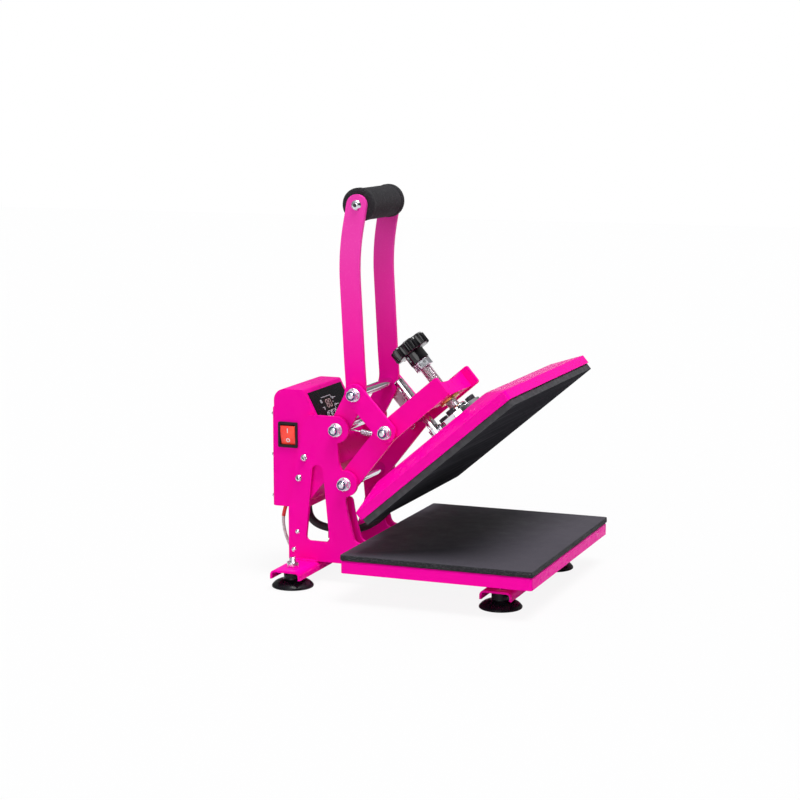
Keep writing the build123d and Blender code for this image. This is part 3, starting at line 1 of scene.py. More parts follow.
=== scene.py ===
import bpy
import math
import random
from mathutils import Matrix, Vector, noise

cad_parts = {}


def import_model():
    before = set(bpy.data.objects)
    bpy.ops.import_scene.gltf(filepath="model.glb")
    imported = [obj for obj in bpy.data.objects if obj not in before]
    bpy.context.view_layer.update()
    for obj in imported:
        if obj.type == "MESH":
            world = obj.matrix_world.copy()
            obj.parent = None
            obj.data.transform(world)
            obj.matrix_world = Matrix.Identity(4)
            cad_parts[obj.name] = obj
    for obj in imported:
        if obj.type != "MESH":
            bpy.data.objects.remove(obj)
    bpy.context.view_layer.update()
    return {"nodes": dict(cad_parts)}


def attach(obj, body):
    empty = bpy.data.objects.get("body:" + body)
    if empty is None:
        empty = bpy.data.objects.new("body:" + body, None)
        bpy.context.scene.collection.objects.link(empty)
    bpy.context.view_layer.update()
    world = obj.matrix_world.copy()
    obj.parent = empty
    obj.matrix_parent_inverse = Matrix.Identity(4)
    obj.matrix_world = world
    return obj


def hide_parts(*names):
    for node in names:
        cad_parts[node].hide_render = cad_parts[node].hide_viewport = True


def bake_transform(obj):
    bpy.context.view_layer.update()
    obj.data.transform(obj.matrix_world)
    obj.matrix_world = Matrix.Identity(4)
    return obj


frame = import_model()
NODES = frame["nodes"]
MM = 0.001


# ---------------------------------------------------------------- places, in millimetres
CENTRE_Y = -64.5
PAD_TOP = 57.0
LOWER_PIVOT = (81.5, 119.2)
UPPER_PIVOT = (92.0, 183.0)
LEVER_END = (69.203, 225.695)
LINK_END = (30.205, 183.686)
GRIP = (68.4, 445.5)
SCREW_Y = -64.5
KNOB_BOTTOM = 179.7
OPEN_ANGLE = -40.4
OUTER_FACE = 61.5
WASHER = 1.3
NUT_HEIGHT = 8.0
BOX_SIDE = 56.0
SWITCH = (156.0, 172.5)
SWITCH_TILT = 9.0


def tilt_matrix():
    """From the closed jaw, in which the platen's pieces are drawn, to the open one."""
    pivot = Vector((0, LOWER_PIVOT[0], LOWER_PIVOT[1])) * MM
    turn = Matrix.Rotation(math.radians(OPEN_ANGLE), 4, "X")
    return Matrix.Translation(pivot) @ turn @ Matrix.Translation(-pivot)


TILT = tilt_matrix()
PANEL_ORIGIN = Vector((0, CENTRE_Y + 201.0, 227.0)) * MM
PANEL_NORMAL = Vector((0, -86.0, 45.0)).normalized()
PANEL_UP = Vector((0, 45.0, 86.0)).normalized()


def panel_matrix(across=0.0, down=0.0, height=0.0):
    """A place on the slanted face of the control box: x across, y up the slope, z out of it."""
    place = PANEL_ORIGIN + (Vector((across, 0, 0)) - PANEL_UP * down + PANEL_NORMAL * height) * MM
    turn = Matrix((Vector((1, 0, 0)), PANEL_UP, PANEL_NORMAL)).transposed().to_4x4()
    return Matrix.Translation(place) @ turn


# ---------------------------------------------------------------- node helpers
class Shader:
    """A Principled material with a few chained noise layers for colour, roughness and bump."""

    def __init__(self, name, color, roughness=0.5, metallic=0.0, specular=0.5, coat=0.0, coat_roughness=0.1):
        self.material = bpy.data.materials.new(name)
        self.material.use_nodes = True
        self.material.diffuse_color = (*color, 1)
        self.tree = self.material.node_tree
        self.tree.nodes.clear()
        self.out = self.add("ShaderNodeOutputMaterial")
        self.bsdf = self.add("ShaderNodeBsdfPrincipled")
        self.tree.links.new(self.bsdf.outputs["BSDF"], self.out.inputs["Surface"])
        self.bsdf.inputs["Base Color"].default_value = (*color, 1)
        self.bsdf.inputs["Roughness"].default_value = roughness
        self.bsdf.inputs["Metallic"].default_value = metallic
        self.bsdf.inputs["Specular IOR Level"].default_value = specular
        self.bsdf.inputs["Coat Weight"].default_value = coat
        self.bsdf.inputs["Coat Roughness"].default_value = coat_roughness
        self.coords = self.add("ShaderNodeTexCoord").outputs["Object"]
        self.color = None
        self.base = color
        self.normal = None

    def add(self, kind):
        return self.tree.nodes.new(kind)

    def link(self, a, b):
        self.tree.links.new(a, b)

    def mapped(self, scale=(1, 1, 1), turn=(0, 0, 0)):
        node = self.add("ShaderNodeMapping")
        self.link(self.coords, node.inputs["Vector"])
        node.inputs["Scale"].default_value = scale
        node.inputs["Rotation"].default_value = turn
        return node.outputs["Vector"]

    def noise(self, scale, detail=3.0, roughness=0.5, stretch=(1, 1, 1), turn=(0, 0, 0), distortion=0.0):
        node = self.add("ShaderNodeTexNoise")
        self.link(self.mapped(stretch, turn), node.inputs["Vector"])
        node.inputs["Scale"].default_value = scale
        node.inputs["Detail"].default_value = detail
        node.inputs["Roughness"].default_value = roughness
        node.inputs["Distortion"].default_value = distortion
        return node.outputs["Fac"]

    def cells(self, scale, feature="F1", stretch=(1, 1, 1), randomness=1.0):
        node = self.add("ShaderNodeTexVoronoi")
        node.feature = feature
        self.link(self.mapped(stretch), node.inputs["Vector"])
        node.inputs["Scale"].default_value = scale
        node.inputs["Randomness"].default_value = randomness
        return node.outputs["Distance"]

    def ramp(self, value, low, high, out_low=0.0, out_high=1.0):
        node = self.add("ShaderNodeMapRange")
        self.link(value, node.inputs["Value"])
        node.inputs["From Min"].default_value = low
        node.inputs["From Max"].default_value = high
        node.inputs["To Min"].default_value = out_low
        node.inputs["To Max"].default_value = out_high
        return node.outputs["Result"]

    def math(self, kind, a, b):
        node = self.add("ShaderNodeMath")
        node.operation = kind
        for socket, value in zip(node.inputs, (a, b)):
            if isinstance(value, (int, float)):
                socket.default_value = value
            else:
                self.link(value, socket)
        return node.outputs[0]

    def tint(self, mask, color):
        """Mixes color over what is there, where mask is 1."""
        node = self.add("ShaderNodeMix")
        node.data_type = "RGBA"
        self.link(mask, node.inputs[0])
        if self.color is None:
            node.inputs[6].default_value = (*self.base, 1)
        else:
            self.link(self.color, node.inputs[6])
        node.inputs[7].default_value = (*color, 1)
        self.color = node.outputs[2]
        self.link(self.color, self.bsdf.inputs["Base Color"])
        return self

    def rough(self, value, low, high, source=(0.3, 0.7)):
        self.link(self.ramp(value, source[0], source[1], low, high), self.bsdf.inputs["Roughness"])
        return self

    def bump(self, value, depth, strength=1.0):
        """Relief; depth is in millimetres."""
        node = self.add("ShaderNodeBump")
        node.inputs["Strength"].default_value = strength
        node.inputs["Distance"].default_value = depth * MM
        self.link(value, node.inputs["Height"])
        if self.normal is not None:
            self.link(self.normal, node.inputs["Normal"])
        self.normal = node.outputs["Normal"]
        self.link(self.normal, self.bsdf.inputs["Normal"])
        return self

    def facing(self, direction):
        """How far the surface, in its own object's axes, faces a direction."""
        normal = self.add("ShaderNodeTexCoord").outputs["Normal"]
        node = self.add("ShaderNodeVectorMath")
        node.operation = "DOT_PRODUCT"
        self.link(normal, node.inputs[0])
        node.inputs[1].default_value = direction
        return node.outputs["Value"]

    def along(self, axis):
        node = self.add("ShaderNodeSeparateXYZ")
        self.link(self.coords, node.inputs["Vector"])
        return node.outputs["XYZ".index(axis)]


# ---------------------------------------------------------------- materials
PAINT = (0.88, 0.0010, 0.345)
PLATEN_NORMAL = (0.0, 0.648120, 0.761538)


def paint(name="magenta_paint", gloss=0.0):
    s = Shader(name, PAINT, 0.3, specular=0.03, coat=0.01 + 0.07 * gloss, coat_roughness=0.05)
    clouds = s.noise(9.0, 2.0)
    s.tint(s.ramp(clouds, 0.35, 0.75, 0.0, 0.35), (0.80, 0.001, 0.315))
    specks = s.cells(330.0)
    s.tint(s.ramp(specks, 0.045, 0.02, 0.0, 0.45), (1.0, 0.18, 0.52))
    scuffs = s.noise(60.0, 6.0, 0.65, (1.0, 3.0, 0.6))
    s.tint(s.ramp(scuffs, 0.70, 0.82, 0.0, 0.20), (1.0, 0.05, 0.42))
    s.rough(s.noise(70.0, 4.0), 0.24 - 0.08 * gloss, 0.38 - 0.1 * gloss)
    s.bump(s.noise(520.0, 2.0), 0.05, 0.35)
    s.bump(s.noise(60.0, 2.0), 0.10, 0.25)
    return s.material


def bar_paint():
    """The handle's powder coat: coarser, and tinted lighter towards the grip as painted sheen for the upper
    bars' glossy reflection.
    """
    s = Shader("handle_paint", PAINT, 0.34, specular=0.05, coat=0.01, coat_roughness=0.1)
    s.tint(s.ramp(s.noise(9.0, 2.0), 0.35, 0.75, 0.0, 0.35), (0.80, 0.001, 0.315))
    height = s.along("Z")
    # Painted sheen: the bars are tinted lighter the higher they are.
    painted_sheen = s.ramp(height, 0.25, 0.40)
    s.tint(s.math("MULTIPLY", painted_sheen, 0.85), (0.84, 0.060, 0.43))
    grain = s.noise(420.0, 3.0, 0.6)
    # Lighter flecks of grain, only where the painted sheen is.
    s.tint(s.math("MULTIPLY", s.ramp(grain, 0.55, 0.80, 0.0, 0.5), painted_sheen), (0.92, 0.13, 0.52))
    s.rough(s.noise(90.0, 4.0), 0.28, 0.44)
    s.bump(s.noise(380.0, 2.0), 0.09, 0.45)
    return s.material


def paint_with_bare_face():
    """Painted, with the zinc showing on the face that looks towards the machine's middle."""
    s = Shader("paint_and_zinc", PAINT, 0.3, specular=0.03, coat=0.0)
    clouds = s.noise(9.0, 2.0)
    s.tint(s.ramp(clouds, 0.35, 0.75, 0.0, 0.35), (0.80, 0.001, 0.315))
    inner = s.ramp(s.facing((-1, 0, 0)), 0.90, 0.95)
    s.tint(inner, (0.72, 0.70, 0.76))
    s.link(inner, s.bsdf.inputs["Metallic"])
    s.rough(s.noise(70.0, 4.0), 0.24, 0.38)
    s.bump(s.noise(520.0, 2.0), 0.05, 0.35)
    return s.material


def zinc():
    s = Shader("zinc_steel", (0.74, 0.75, 0.80), 0.25, metallic=1.0)
    s.tint(s.ramp(s.noise(45.0, 3.0), 0.35, 0.75, 0.0, 0.55), (0.62, 0.62, 0.70))
    s.tint(s.ramp(s.noise(160.0, 5.0, 0.6), 0.60, 0.78, 0.0, 0.5), (0.80, 0.74, 0.62))
    s.rough(s.noise(240.0, 4.0), 0.16, 0.34)
    s.bump(s.noise(700.0, 3.0, stretch=(0.15, 1, 1)), 0.02, 0.5)
    return s.material


def chrome():
    s = Shader("polished_chrome", (0.80, 0.81, 0.84), 0.08, metallic=1.0)
    s.tint(s.ramp(s.noise(30.0, 2.0), 0.4, 0.8, 0.0, 0.4), (0.68, 0.68, 0.74))
    s.rough(s.noise(300.0, 3.0), 0.06, 0.16)
    s.bump(s.noise(900.0, 2.0), 0.006, 0.5)
    return s.material


def turned_steel():
    """The thread's steel, with a trace of grease."""
    s = Shader("turned_steel", (0.66, 0.65, 0.68), 0.28, metallic=1.0)
    s.tint(s.ramp(s.noise(90.0, 4.0), 0.45, 0.72, 0.0, 0.65), (0.46, 0.42, 0.40))
    s.rough(s.noise(500.0, 3.0), 0.20, 0.42)
    s.bump(s.noise(1500.0, 2.0), 0.01, 0.5)
    return s.material


# Dark steel for the flange bolts: zinc bolts whose dark reflections are painted into the colour, as painted
# reflection.
def steel_painted_dark_reflection():
    s = Shader("black_steel", (0.035, 0.035, 0.042), 0.32, metallic=0.85)
    s.tint(s.ramp(s.noise(140.0, 5.0, 0.6), 0.55, 0.75, 0.0, 0.6), (0.16, 0.16, 0.18))
    s.rough(s.noise(260.0, 4.0), 0.24, 0.46)
    s.bump(s.noise(800.0, 3.0), 0.02, 0.5)
    return s.material


def brass():
    s = Shader("brass", (0.83, 0.50, 0.16), 0.25, metallic=1.0)
    s.tint(s.ramp(s.noise(120.0, 4.0), 0.45, 0.7, 0.0, 0.6), (0.66, 0.34, 0.10))
    s.rough(s.noise(260.0, 4.0), 0.18, 0.40)
    s.bump(s.noise(900.0, 2.0), 0.015, 0.5)
    return s.material


def plastic(name, color, low=0.22, high=0.42, specular=0.5, grain=900.0, depth=0.02, tone=0.5):
    s = Shader(name, color, 0.3, specular=specular)
    lighter = tuple(min(1.0, c * 1.6 + 0.004) for c in color)
    s.tint(s.ramp(s.noise(55.0, 4.0), 0.40, 0.75, 0.0, tone), lighter)
    s.rough(s.noise(190.0, 4.0), low, high)
    s.bump(s.noise(grain, 2.0), depth, 0.5)
    return s.material


def rubber():
    s = Shader("black_rubber", (0.004, 0.004, 0.006), 0.3, specular=0.18)
    s.tint(s.ramp(s.noise(60.0, 5.0, 0.6), 0.50, 0.78, 0.0, 0.7), (0.020, 0.020, 0.024))
    s.rough(s.noise(120.0, 5.0), 0.20, 0.42)
    s.bump(s.noise(650.0, 3.0), 0.03, 0.5)
    return s.material


def grip_foam():
    s = Shader("black_foam", (0.022, 0.021, 0.024), 0.9, specular=0.08)
    s.bsdf.inputs["Sheen Weight"].default_value = 0.04
    s.bsdf.inputs["Sheen Roughness"].default_value = 0.5
    s.tint(s.ramp(s.noise(500.0, 4.0), 0.52, 0.72, 0.0, 0.8), (0.055, 0.055, 0.060))
    pores = s.cells(620.0)
    # Pores tinted darker: painted shade in the pits, over the bump below.
    s.tint(s.ramp(pores, 0.30, 0.08, 0.0, 0.8), (0.004, 0.004, 0.005))
    s.rough(s.noise(200.0, 3.0), 0.75, 0.95)
    s.bump(pores, 0.35, 0.6)
    s.bump(s.noise(900.0, 4.0, 0.7), 0.25, 0.6)
    return s.material


def sponge():
    """Silicone sponge sheet: a fine skin on top, and cut pores along its edges."""
    s = Shader("silicone_sponge", (0.058, 0.053, 0.066), 0.7, specular=0.05)
    s.bsdf.inputs["Sheen Weight"].default_value = 0.03
    s.bsdf.inputs["Sheen Roughness"].default_value = 0.4
    side = s.ramp(s.facing((0, 0, 1)), 0.9, 0.6)
    s.tint(s.ramp(s.noise(8.0, 3.0), 0.35, 0.70, 0.0, 0.5), (0.072, 0.066, 0.080))
    s.tint(s.ramp(s.noise(900.0, 3.0), 0.52, 0.75, 0.0, 0.6), (0.100, 0.094, 0.108))
    s.tint(side, (0.022, 0.022, 0.025))
    specks = s.math("MULTIPLY", s.ramp(s.cells(900.0), 0.32, 0.14), side)
    s.tint(specks, (0.16, 0.16, 0.17))
    s.rough(s.noise(60.0, 4.0), 0.56, 0.74)
    weave = s.noise(1100.0, 3.0, 0.6)
    s.bump(weave, 0.06, 0.6)
    s.bump(s.math("MULTIPLY", s.cells(800.0), side), 0.5, 0.7)
    return s.material


def platen_coat():
    """Non-stick coat: near black and streaky under the plate, greyer along its edges; the streaks' lighter
    tint is painted highlight.
    """
    s = Shader("platen_coat", (0.060, 0.059, 0.064), 0.5, specular=0.0)
    s.tint(s.ramp(s.noise(160.0, 4.0, stretch=(1, 1, 1)), 0.45, 0.75, 0.0, 0.5), (0.11, 0.11, 0.115))
    under = s.ramp(s.facing(tuple(-c for c in PLATEN_NORMAL)), 0.6, 0.9)
    s.tint(under, (0.030, 0.029, 0.034))
    streaks = s.noise(16.0, 5.0, 0.65, (0.25, 14.0, 14.0), (math.radians(40.4), 0, 0))
    # Lighter tint along the streaks under the plate: painted highlight; the streaks' roughness and relief are
    # the coat's own.
    s.tint(s.math("MULTIPLY", s.ramp(streaks, 0.50, 0.78), under), (0.075, 0.075, 0.085))
    s.rough(streaks, 0.42, 0.62)
    s.bump(streaks, 0.03, 0.4)
    s.bump(s.noise(700.0, 2.0), 0.02, 0.4)
    return s.material


def glass_epoxy():
    s = Shader("glass_epoxy", (0.02, 0.16, 0.06), 0.4, specular=0.5)
    s.tint(s.ramp(s.noise(300.0, 3.0), 0.5, 0.7, 0.0, 0.6), (0.05, 0.26, 0.10))
    s.rough(s.noise(150.0, 3.0), 0.3, 0.5)
    return s.material


def wool():
    s = Shader("ceramic_wool", (0.80, 0.79, 0.74), 0.95, specular=0.2)
    s.tint(s.ramp(s.noise(120.0, 5.0, 0.7), 0.4, 0.7), (0.60, 0.58, 0.53))
    s.bump(s.noise(300.0, 5.0, 0.7), 0.6, 0.8)
    return s.material


def glow(name, color, strength):
    s = Shader(name, color, 0.4)
    mask = s.ramp(s.noise(700.0, 2.0), 0.3, 0.7, 0.85 * strength, strength)
    s.bsdf.inputs["Emission Color"].default_value = (*color, 1)
    s.link(mask, s.bsdf.inputs["Emission Strength"])
    s.tint(s.ramp(s.noise(400.0, 2.0), 0.4, 0.7, 0.0, 0.3), tuple(c * 0.8 for c in color))
    return s.material


def lit_rocker():
    """Red translucent cap, lit by its lamp, its glow varying in patches."""
    s = Shader("red_plastic", (0.78, 0.018, 0.012), 0.16, specular=0.5, coat=0.3, coat_roughness=0.05)
    s.tint(s.ramp(s.noise(110.0, 3.0), 0.35, 0.7, 0.0, 0.7), (0.93, 0.075, 0.03))
    s.rough(s.noise(240.0, 3.0), 0.10, 0.24)
    s.bsdf.inputs["Emission Color"].default_value = (1.0, 0.05, 0.02, 1)
    s.link(s.ramp(s.noise(60.0, 2.0), 0.3, 0.7, 0.08, 0.26), s.bsdf.inputs["Emission Strength"])
    s.bump(s.noise(500.0, 2.0), 0.02, 0.4)
    return s.material


def panel_film():
    s = Shader("panel_film", (0.0050, 0.0050, 0.0070), 0.25, specular=0.10)
    s.tint(s.ramp(s.noise(40.0, 4.0), 0.45, 0.75, 0.0, 0.6), (0.009, 0.009, 0.012))
    s.rough(s.noise(300.0, 4.0), 0.20, 0.34)
    s.bump(s.noise(1200.0, 2.0), 0.012, 0.5)
    return s.material


def braid():
    s = Shader("tinned_braid", (0.70, 0.66, 0.66), 0.35, metallic=0.9)
    s.tint(s.ramp(s.noise(400.0, 4.0), 0.45, 0.7, 0.0, 0.8), (0.42, 0.36, 0.36))
    s.rough(s.noise(500.0, 3.0), 0.25, 0.5)
    s.bump(s.noise(2200.0, 2.0), 0.06, 0.7)
    return s.material


def sleeve_weave():
    """Lead sleeve: black, with a fine diagonal weave."""
    s = Shader("lead_sleeve", (0.014, 0.014, 0.015), 0.55, specular=0.4)
    wave = s.add("ShaderNodeTexWave")
    s.link(s.mapped((1, 1, 1), (0.5, 0.6, 0.7)), wave.inputs["Vector"])
    wave.inputs["Scale"].default_value = 420.0
    wave.inputs["Distortion"].default_value = 1.5
    s.tint(s.ramp(wave.outputs["Fac"], 0.4, 0.9, 0.0, 0.6), (0.045, 0.045, 0.048))
    s.rough(s.noise(200.0, 3.0), 0.42, 0.62)
    s.bump(wave.outputs["Fac"], 0.12, 0.6)
    return s.material


MAT = {
    "paint": paint(),
    "gloss_paint": paint("magenta_gloss", 0.6),
    "bar_paint": bar_paint(),
    "link_paint": paint_with_bare_face(),
    "zinc": zinc(),
    "chrome": chrome(),
    "thread": turned_steel(),
    "black_steel": steel_painted_dark_reflection(),
    "brass": brass(),
    "plastic": plastic("black_plastic", (0.007, 0.007, 0.009), specular=0.25),
    "knob": plastic("knob_plastic", (0.003, 0.003, 0.004), 0.08, 0.18, 0.55, 500.0, 0.02, 0.2),
    "white": plastic("white_plastic", (0.78, 0.79, 0.84), 0.3, 0.5),
    "nylon": plastic("nylon_insert", (0.012, 0.035, 0.12), 0.25, 0.45),
    "rubber": rubber(),
    "foam": grip_foam(),
    "sponge": sponge(),
    "coat": platen_coat(),
    "epoxy": glass_epoxy(),
    "wool": wool(),
    "rocker": lit_rocker(),
    "film": panel_film(),
    "lens": plastic("dark_lens", (0.008, 0.003, 0.004), 0.06, 0.14, 0.12, 1200.0, 0.004, 0.3),
    "digits": glow("led_segments", (0.62, 0.42, 0.44), 0.22),
    # The print glows faintly: painted light, as the print is no lamp.
    "ink": glow("printed_ink_painted_glow", (0.66, 0.68, 0.74), 0.10),
    # Dark plastic for the recess plates: painted shade in the screw heads' hollows.
    "recess_shade": plastic("recess_painted_shade", (0.012, 0.012, 0.014), 0.4, 0.6),
    "braid": braid(),
    "red_sleeve": plastic("red_sleeve", (0.60, 0.012, 0.016), 0.3, 0.5),
    "sleeve": sleeve_weave(),
}

NODE_MATERIALS = {
    "paint": [
        "base_tray", "front_channel", "rear_channel", "left_upright", "right_upright", "inner_cheeks",
        "control_box", "link_left", "arm_left", "arm_right",
        "cross_channel", "guide_plate", "box_rear_cover", "mount_plate",
    ],
    "gloss_paint": ["heater_cover"],
    "bar_paint": ["handle_left", "handle_right"],
    "link_paint": ["link_right"],
    "zinc": [
        "frame_rivets", "frame_pivot_bolts", "frame_pivot_fasteners", "grip_tube", "grip_screws",
        "lever_bolt", "lever_bolt_fasteners", "link_bolt", "link_bolt_fasteners", "jam_nut",
        "box_screws", "stiffener_plate",
    ],
    "chrome": ["guide_post", "frame_pivot_spacers", "lever_spacer", "bearing_flange"],
    # The flange bolts' dark colour is painted reflection on zinc.
    "black_steel": ["flange_bolts"],
    "brass": ["screw_nut", "guide_bush"],
    "lens": ["display_window"],
    "epoxy": ["circuit_board"],
    "plastic": ["switch_housing", "power_inlet", "box_gland", "platen_gland"],
    "rocker": ["rocker"],
    "film": ["display_panel", "button_1", "button_2", "button_3", "button_4"],
    "wool": ["insulation"],
    "coat": ["heater_plate"],
}
EDGE_RADIUS = {
    "paint": 0.6, "gloss_paint": 1.4, "bar_paint": 0.6, "link_paint": 0.6, "zinc": 0.35, "chrome": 0.4,
    "black_steel": 0.4, "brass": 0.3, "film": 0.2, "lens": 0.1, "epoxy": 0.1, "plastic": 0.5,
    "rocker": 0.5, "wool": 0.0, "coat": 0.5,
}


def tidy_group():
    """Joins the frame's split corners, so that edges can be rounded, and shades by angle."""
    group = bpy.data.node_groups.new("join_corners", "GeometryNodeTree")
    group.interface.new_socket("Geometry", in_out="INPUT", socket_type="NodeSocketGeometry")
    group.interface.new_socket("Geometry", in_out="OUTPUT", socket_type="NodeSocketGeometry")
    add, link = group.nodes.new, group.links.new
    start, end = add("NodeGroupInput"), add("NodeGroupOutput")
    merge = add("GeometryNodeMergeByDistance")
    merge.inputs["Distance"].default_value = 2e-6
    remove = add("GeometryNodeRemoveAttribute")
    remove.inputs["Name"].default_value = "custom_normal"
    faces = add("GeometryNodeSetShadeSmooth")
    edges = add("GeometryNodeSetShadeSmooth")
    edges.domain = "EDGE"
    angle = add("GeometryNodeInputMeshEdgeAngle")
    below = add("FunctionNodeCompare")
    below.operation = "LESS_THAN"
    link(angle.outputs["Unsigned Angle"], below.inputs[0])
    below.inputs[1].default_value = math.radians(32)
    link(start.outputs[0], merge.inputs["Geometry"])
    link(merge.outputs["Geometry"], remove.inputs["Geometry"])
    link(remove.outputs["Geometry"], faces.inputs["Geometry"])
    link(faces.outputs["Geometry"], edges.inputs["Geometry"])
    link(below.outputs["Result"], edges.inputs["Shade Smooth"])
    link(edges.outputs["Geometry"], end.inputs[0])
    return group


TIDY = tidy_group()


def round_edges(obj, radius):
    if radius <= 0:
        return
    modifier = obj.modifiers.new("corners", "NODES")
    modifier.node_group = TIDY
    flat = obj.modifiers.new("flats", "DECIMATE")
    flat.decimate_type = "DISSOLVE"
    flat.angle_limit = math.radians(0.5)
    bevel = obj.modifiers.new("edges", "BEVEL")
    bevel.width = radius * MM
    bevel.segments = 2
    bevel.limit_method = "ANGLE"
    bevel.angle_limit = math.radians(40)
    bevel.harden_normals = True


def dress_nodes():
    for key, names in NODE_MATERIALS.items():
        for name in names:
            obj = NODES[name]
            obj.data.materials.clear()
            obj.data.materials.append(MAT[key])
            round_edges(obj, EDGE_RADIUS[key])


# ---------------------------------------------------------------- mesh helpers
def piece(name, points, faces, material, body, slot, matrix=None, smooth=40.0):
    """A mesh whose points are in millimetres, riding on a body."""
    mesh = bpy.data.meshes.new(name)
    mesh.from_pydata([Vector(p) * MM for p in points], [], faces)
    if matrix is not None:
        mesh.transform(matrix)
    mesh.validate()
    mesh.update()
    obj = bpy.data.objects.new(name, mesh)
    bpy.context.scene.collection.objects.link(obj)
    mesh.materials.append(material)
    for polygon in mesh.polygons:
        polygon.use_smooth = smooth > 0
    if smooth > 0:
        mesh.set_sharp_from_angle(angle=math.radians(smooth))
    if body:
        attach(obj, body)
    return obj


def joined(parts):
    """Several (points, faces) as one."""
    points, faces = [], []
    for p, f in parts:
        base = len(points)
        points += [tuple(v) for v in p]
        faces += [tuple(i + base for i in face) for face in f]
    return points, faces


def moved(part, matrix):
    points, faces = part
    return [tuple(matrix @ Vector(p)) for p in points], faces


def lathe(profile, sides=64, closed=False):
    """Turns (radius, height) pairs about Z."""
    points, faces = [], []
    for radius, height in profile:
        for i in range(sides):
            a = 2 * math.pi * i / sides
            points.append((radius * math.cos(a), radius * math.sin(a), height))
    rows = len(profile)
    for row in range(rows if closed else rows - 1):
        below, above = row * sides, ((row + 1) % rows) * sides
        for i in range(sides):
            j = (i + 1) % sides
            faces.append((below + i, below + j, above + j, above + i))
    if not closed:
        faces.append(tuple(reversed(range(sides))))
        faces.append(tuple(range((rows - 1) * sides, rows * sides)))
    return points, faces


def rings(outlines):
    """Skins a list of equally long closed outlines, with caps."""
    count = len(outlines[0])
    points = [p for outline in outlines for p in outline]
    faces = []
    for row in range(len(outlines) - 1):
        for i in range(count):
            j = (i + 1) % count
            faces.append((row * count + i, row * count + j, (row + 1) * count + j, (row + 1) * count + i))
    faces.append(tuple(reversed(range(count))))
    faces.append(tuple(range((len(outlines) - 1) * count, len(outlines) * count)))
    return points, faces


def tube(path, radius, sides=16):
    """A round tube along a list of points, with a frame that doesn't twist."""
    path = [Vector(p) for p in path]
    outlines = []
    up = None
    for i, p in enumerate(path):
        before, after = path[max(i - 1, 0)], path[min(i + 1, len(path) - 1)]
        tangent = (after - before).normalized()
        if up is None:
            up = tangent.orthogonal().normalized()
        up = (up - tangent * up.dot(tangent)).normalized()
        side = tangent.cross(up)
        r = radius(i / (len(path) - 1)) if callable(radius) else radius
        outlines.append(
            [p + (up * math.cos(a) + side * math.sin(a)) * r
             for a in (2 * math.pi * k / sides for k in range(sides))]
        )
    return rings(outlines)


def about_x(x, y, z, side=-1):
    """A frame whose z runs out of the machine's side, at a place in millimetres."""
    turn = Matrix.Rotation(math.radians(90 * side), 4, "Y")
    return Matrix.Translation(Vector((x, y, z))) @ turn


def up_at(x, y, z):
    return Matrix.Translation(Vector((x, y, z)))


def rounded_outline(half_x, half_y, radius, steps=8, spacing=5.0):
    """A rounded rectangle's outline, with points along its straight sides too."""
    points = []
    corners = [(1, 1, 0), (-1, 1, 90), (-1, -1, 180), (1, -1, 270)]
    for sx, sy, start in corners:
        for k in range(steps + 1):
            a = math.radians(start + 90 * k / steps)
            points.append(
                (sx * (half_x - radius) + radius * math.cos(a), sy * (half_y - radius) + radius * math.sin(a))
            )
    dense = []
    for a, b in zip(points, points[1:] + points[:1]):
        length = math.dist(a, b)
        parts = max(1, round(length / spacing))
        dense += [(a[0] + (b[0] - a[0]) * k / parts, a[1] + (b[1] - a[1]) * k / parts) for k in range(parts)]
    return dense


# ---------------------------------------------------------------- soft and rubber pieces
def sponge_pad():
    """The lower platen's sheet: cut edges that waver a little, a soft top edge, corners nipped."""
    half_x, half_y, bottom, thickness = 152.2, 114.2, 50.5, 6.5
    outlines = []
    profile = [(0.25, 0.0), (0.0, 0.5), (-0.15, 2.2), (0.05, 4.2), (0.10, 5.7), (0.35, 6.25), (0.9, 6.5)]
    for inset, height in profile:
        ring = []
        for x, y in rounded_outline(half_x, half_y, 2.2, 6, 3.0):
            waver = 0.28 * noise.noise(Vector((x, y, height * 2.0)) * 0.09)
            waver += 0.12 * noise.noise(Vector((x, y, height * 3.0)) * 0.6)
            scale_x = 1 - (inset + waver) / half_x
            scale_y = 1 - (inset + waver) / half_y
            ring.append((x * scale_x, y * scale_y + CENTRE_Y, bottom + height))
        outlines.append(ring)
    points, faces = rings(outlines)
    pad = piece("sponge_pad", points, faces, MAT["sponge"], "base", "silicone_sponge", smooth=50)
    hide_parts("lower_pad")


def foam_sleeve():
    """Foam grip on the handle, with a raised ring at each end and a slightly uneven surface."""
    half, radius, ring = 49.6, 18.9, 19.85
    steps = [(-half, 11.1), (-half, 14.0), (-half, 17.8), (-half + 0.5, 19.0), (-half + 1.6, ring)]
    steps += [(-half + 4.5, ring), (-half + 8.0, ring), (-half + 8.8, ring - 0.4), (-half + 9.3, radius)]
    count = 44
    inner = -half + 10.5
    steps += [(inner + (-2 * inner) * k / count, radius) for k in range(count + 1)]
    steps += [(-x, r) for x, r in reversed(steps[:9])]
    sides = 96
    points, faces = [], []
    for x, r in steps:
        for i in range(sides):
            a = 2 * math.pi * i / sides
            direction = Vector((0, math.cos(a), math.sin(a)))
            p = Vector((x, 0, 0)) + direction * r
            dent = 0.16 * noise.noise(p * 0.12) + 0.10 * noise.noise(p * 0.5) if r > 18 else 0.0
            points.append(p + direction * (dent - 0.12 if r > 18 else 0.0))
    rows = len(steps)
    for row in range(rows - 1):
        for i in range(sides):
            j = (i + 1) % sides
            faces.append((row * sides + i, row * sides + j, (row + 1) * sides + j, (row + 1) * sides + i))
    for i in range(sides):
        j = (i + 1) % sides
        faces.append(((rows - 1) * sides + i, (rows - 1) * sides + j, j, i))
    shape = moved((points, faces), up_at(0, *GRIP))
    grip = piece("foam_sleeve", *shape, MAT["foam"], "handle", "black_foam", smooth=50)
    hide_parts("foam_grip")


FEET = [(-100.5, -61.0), (100.5, -61.0), (-97.0, 197.5), (97.0, 197.5)]


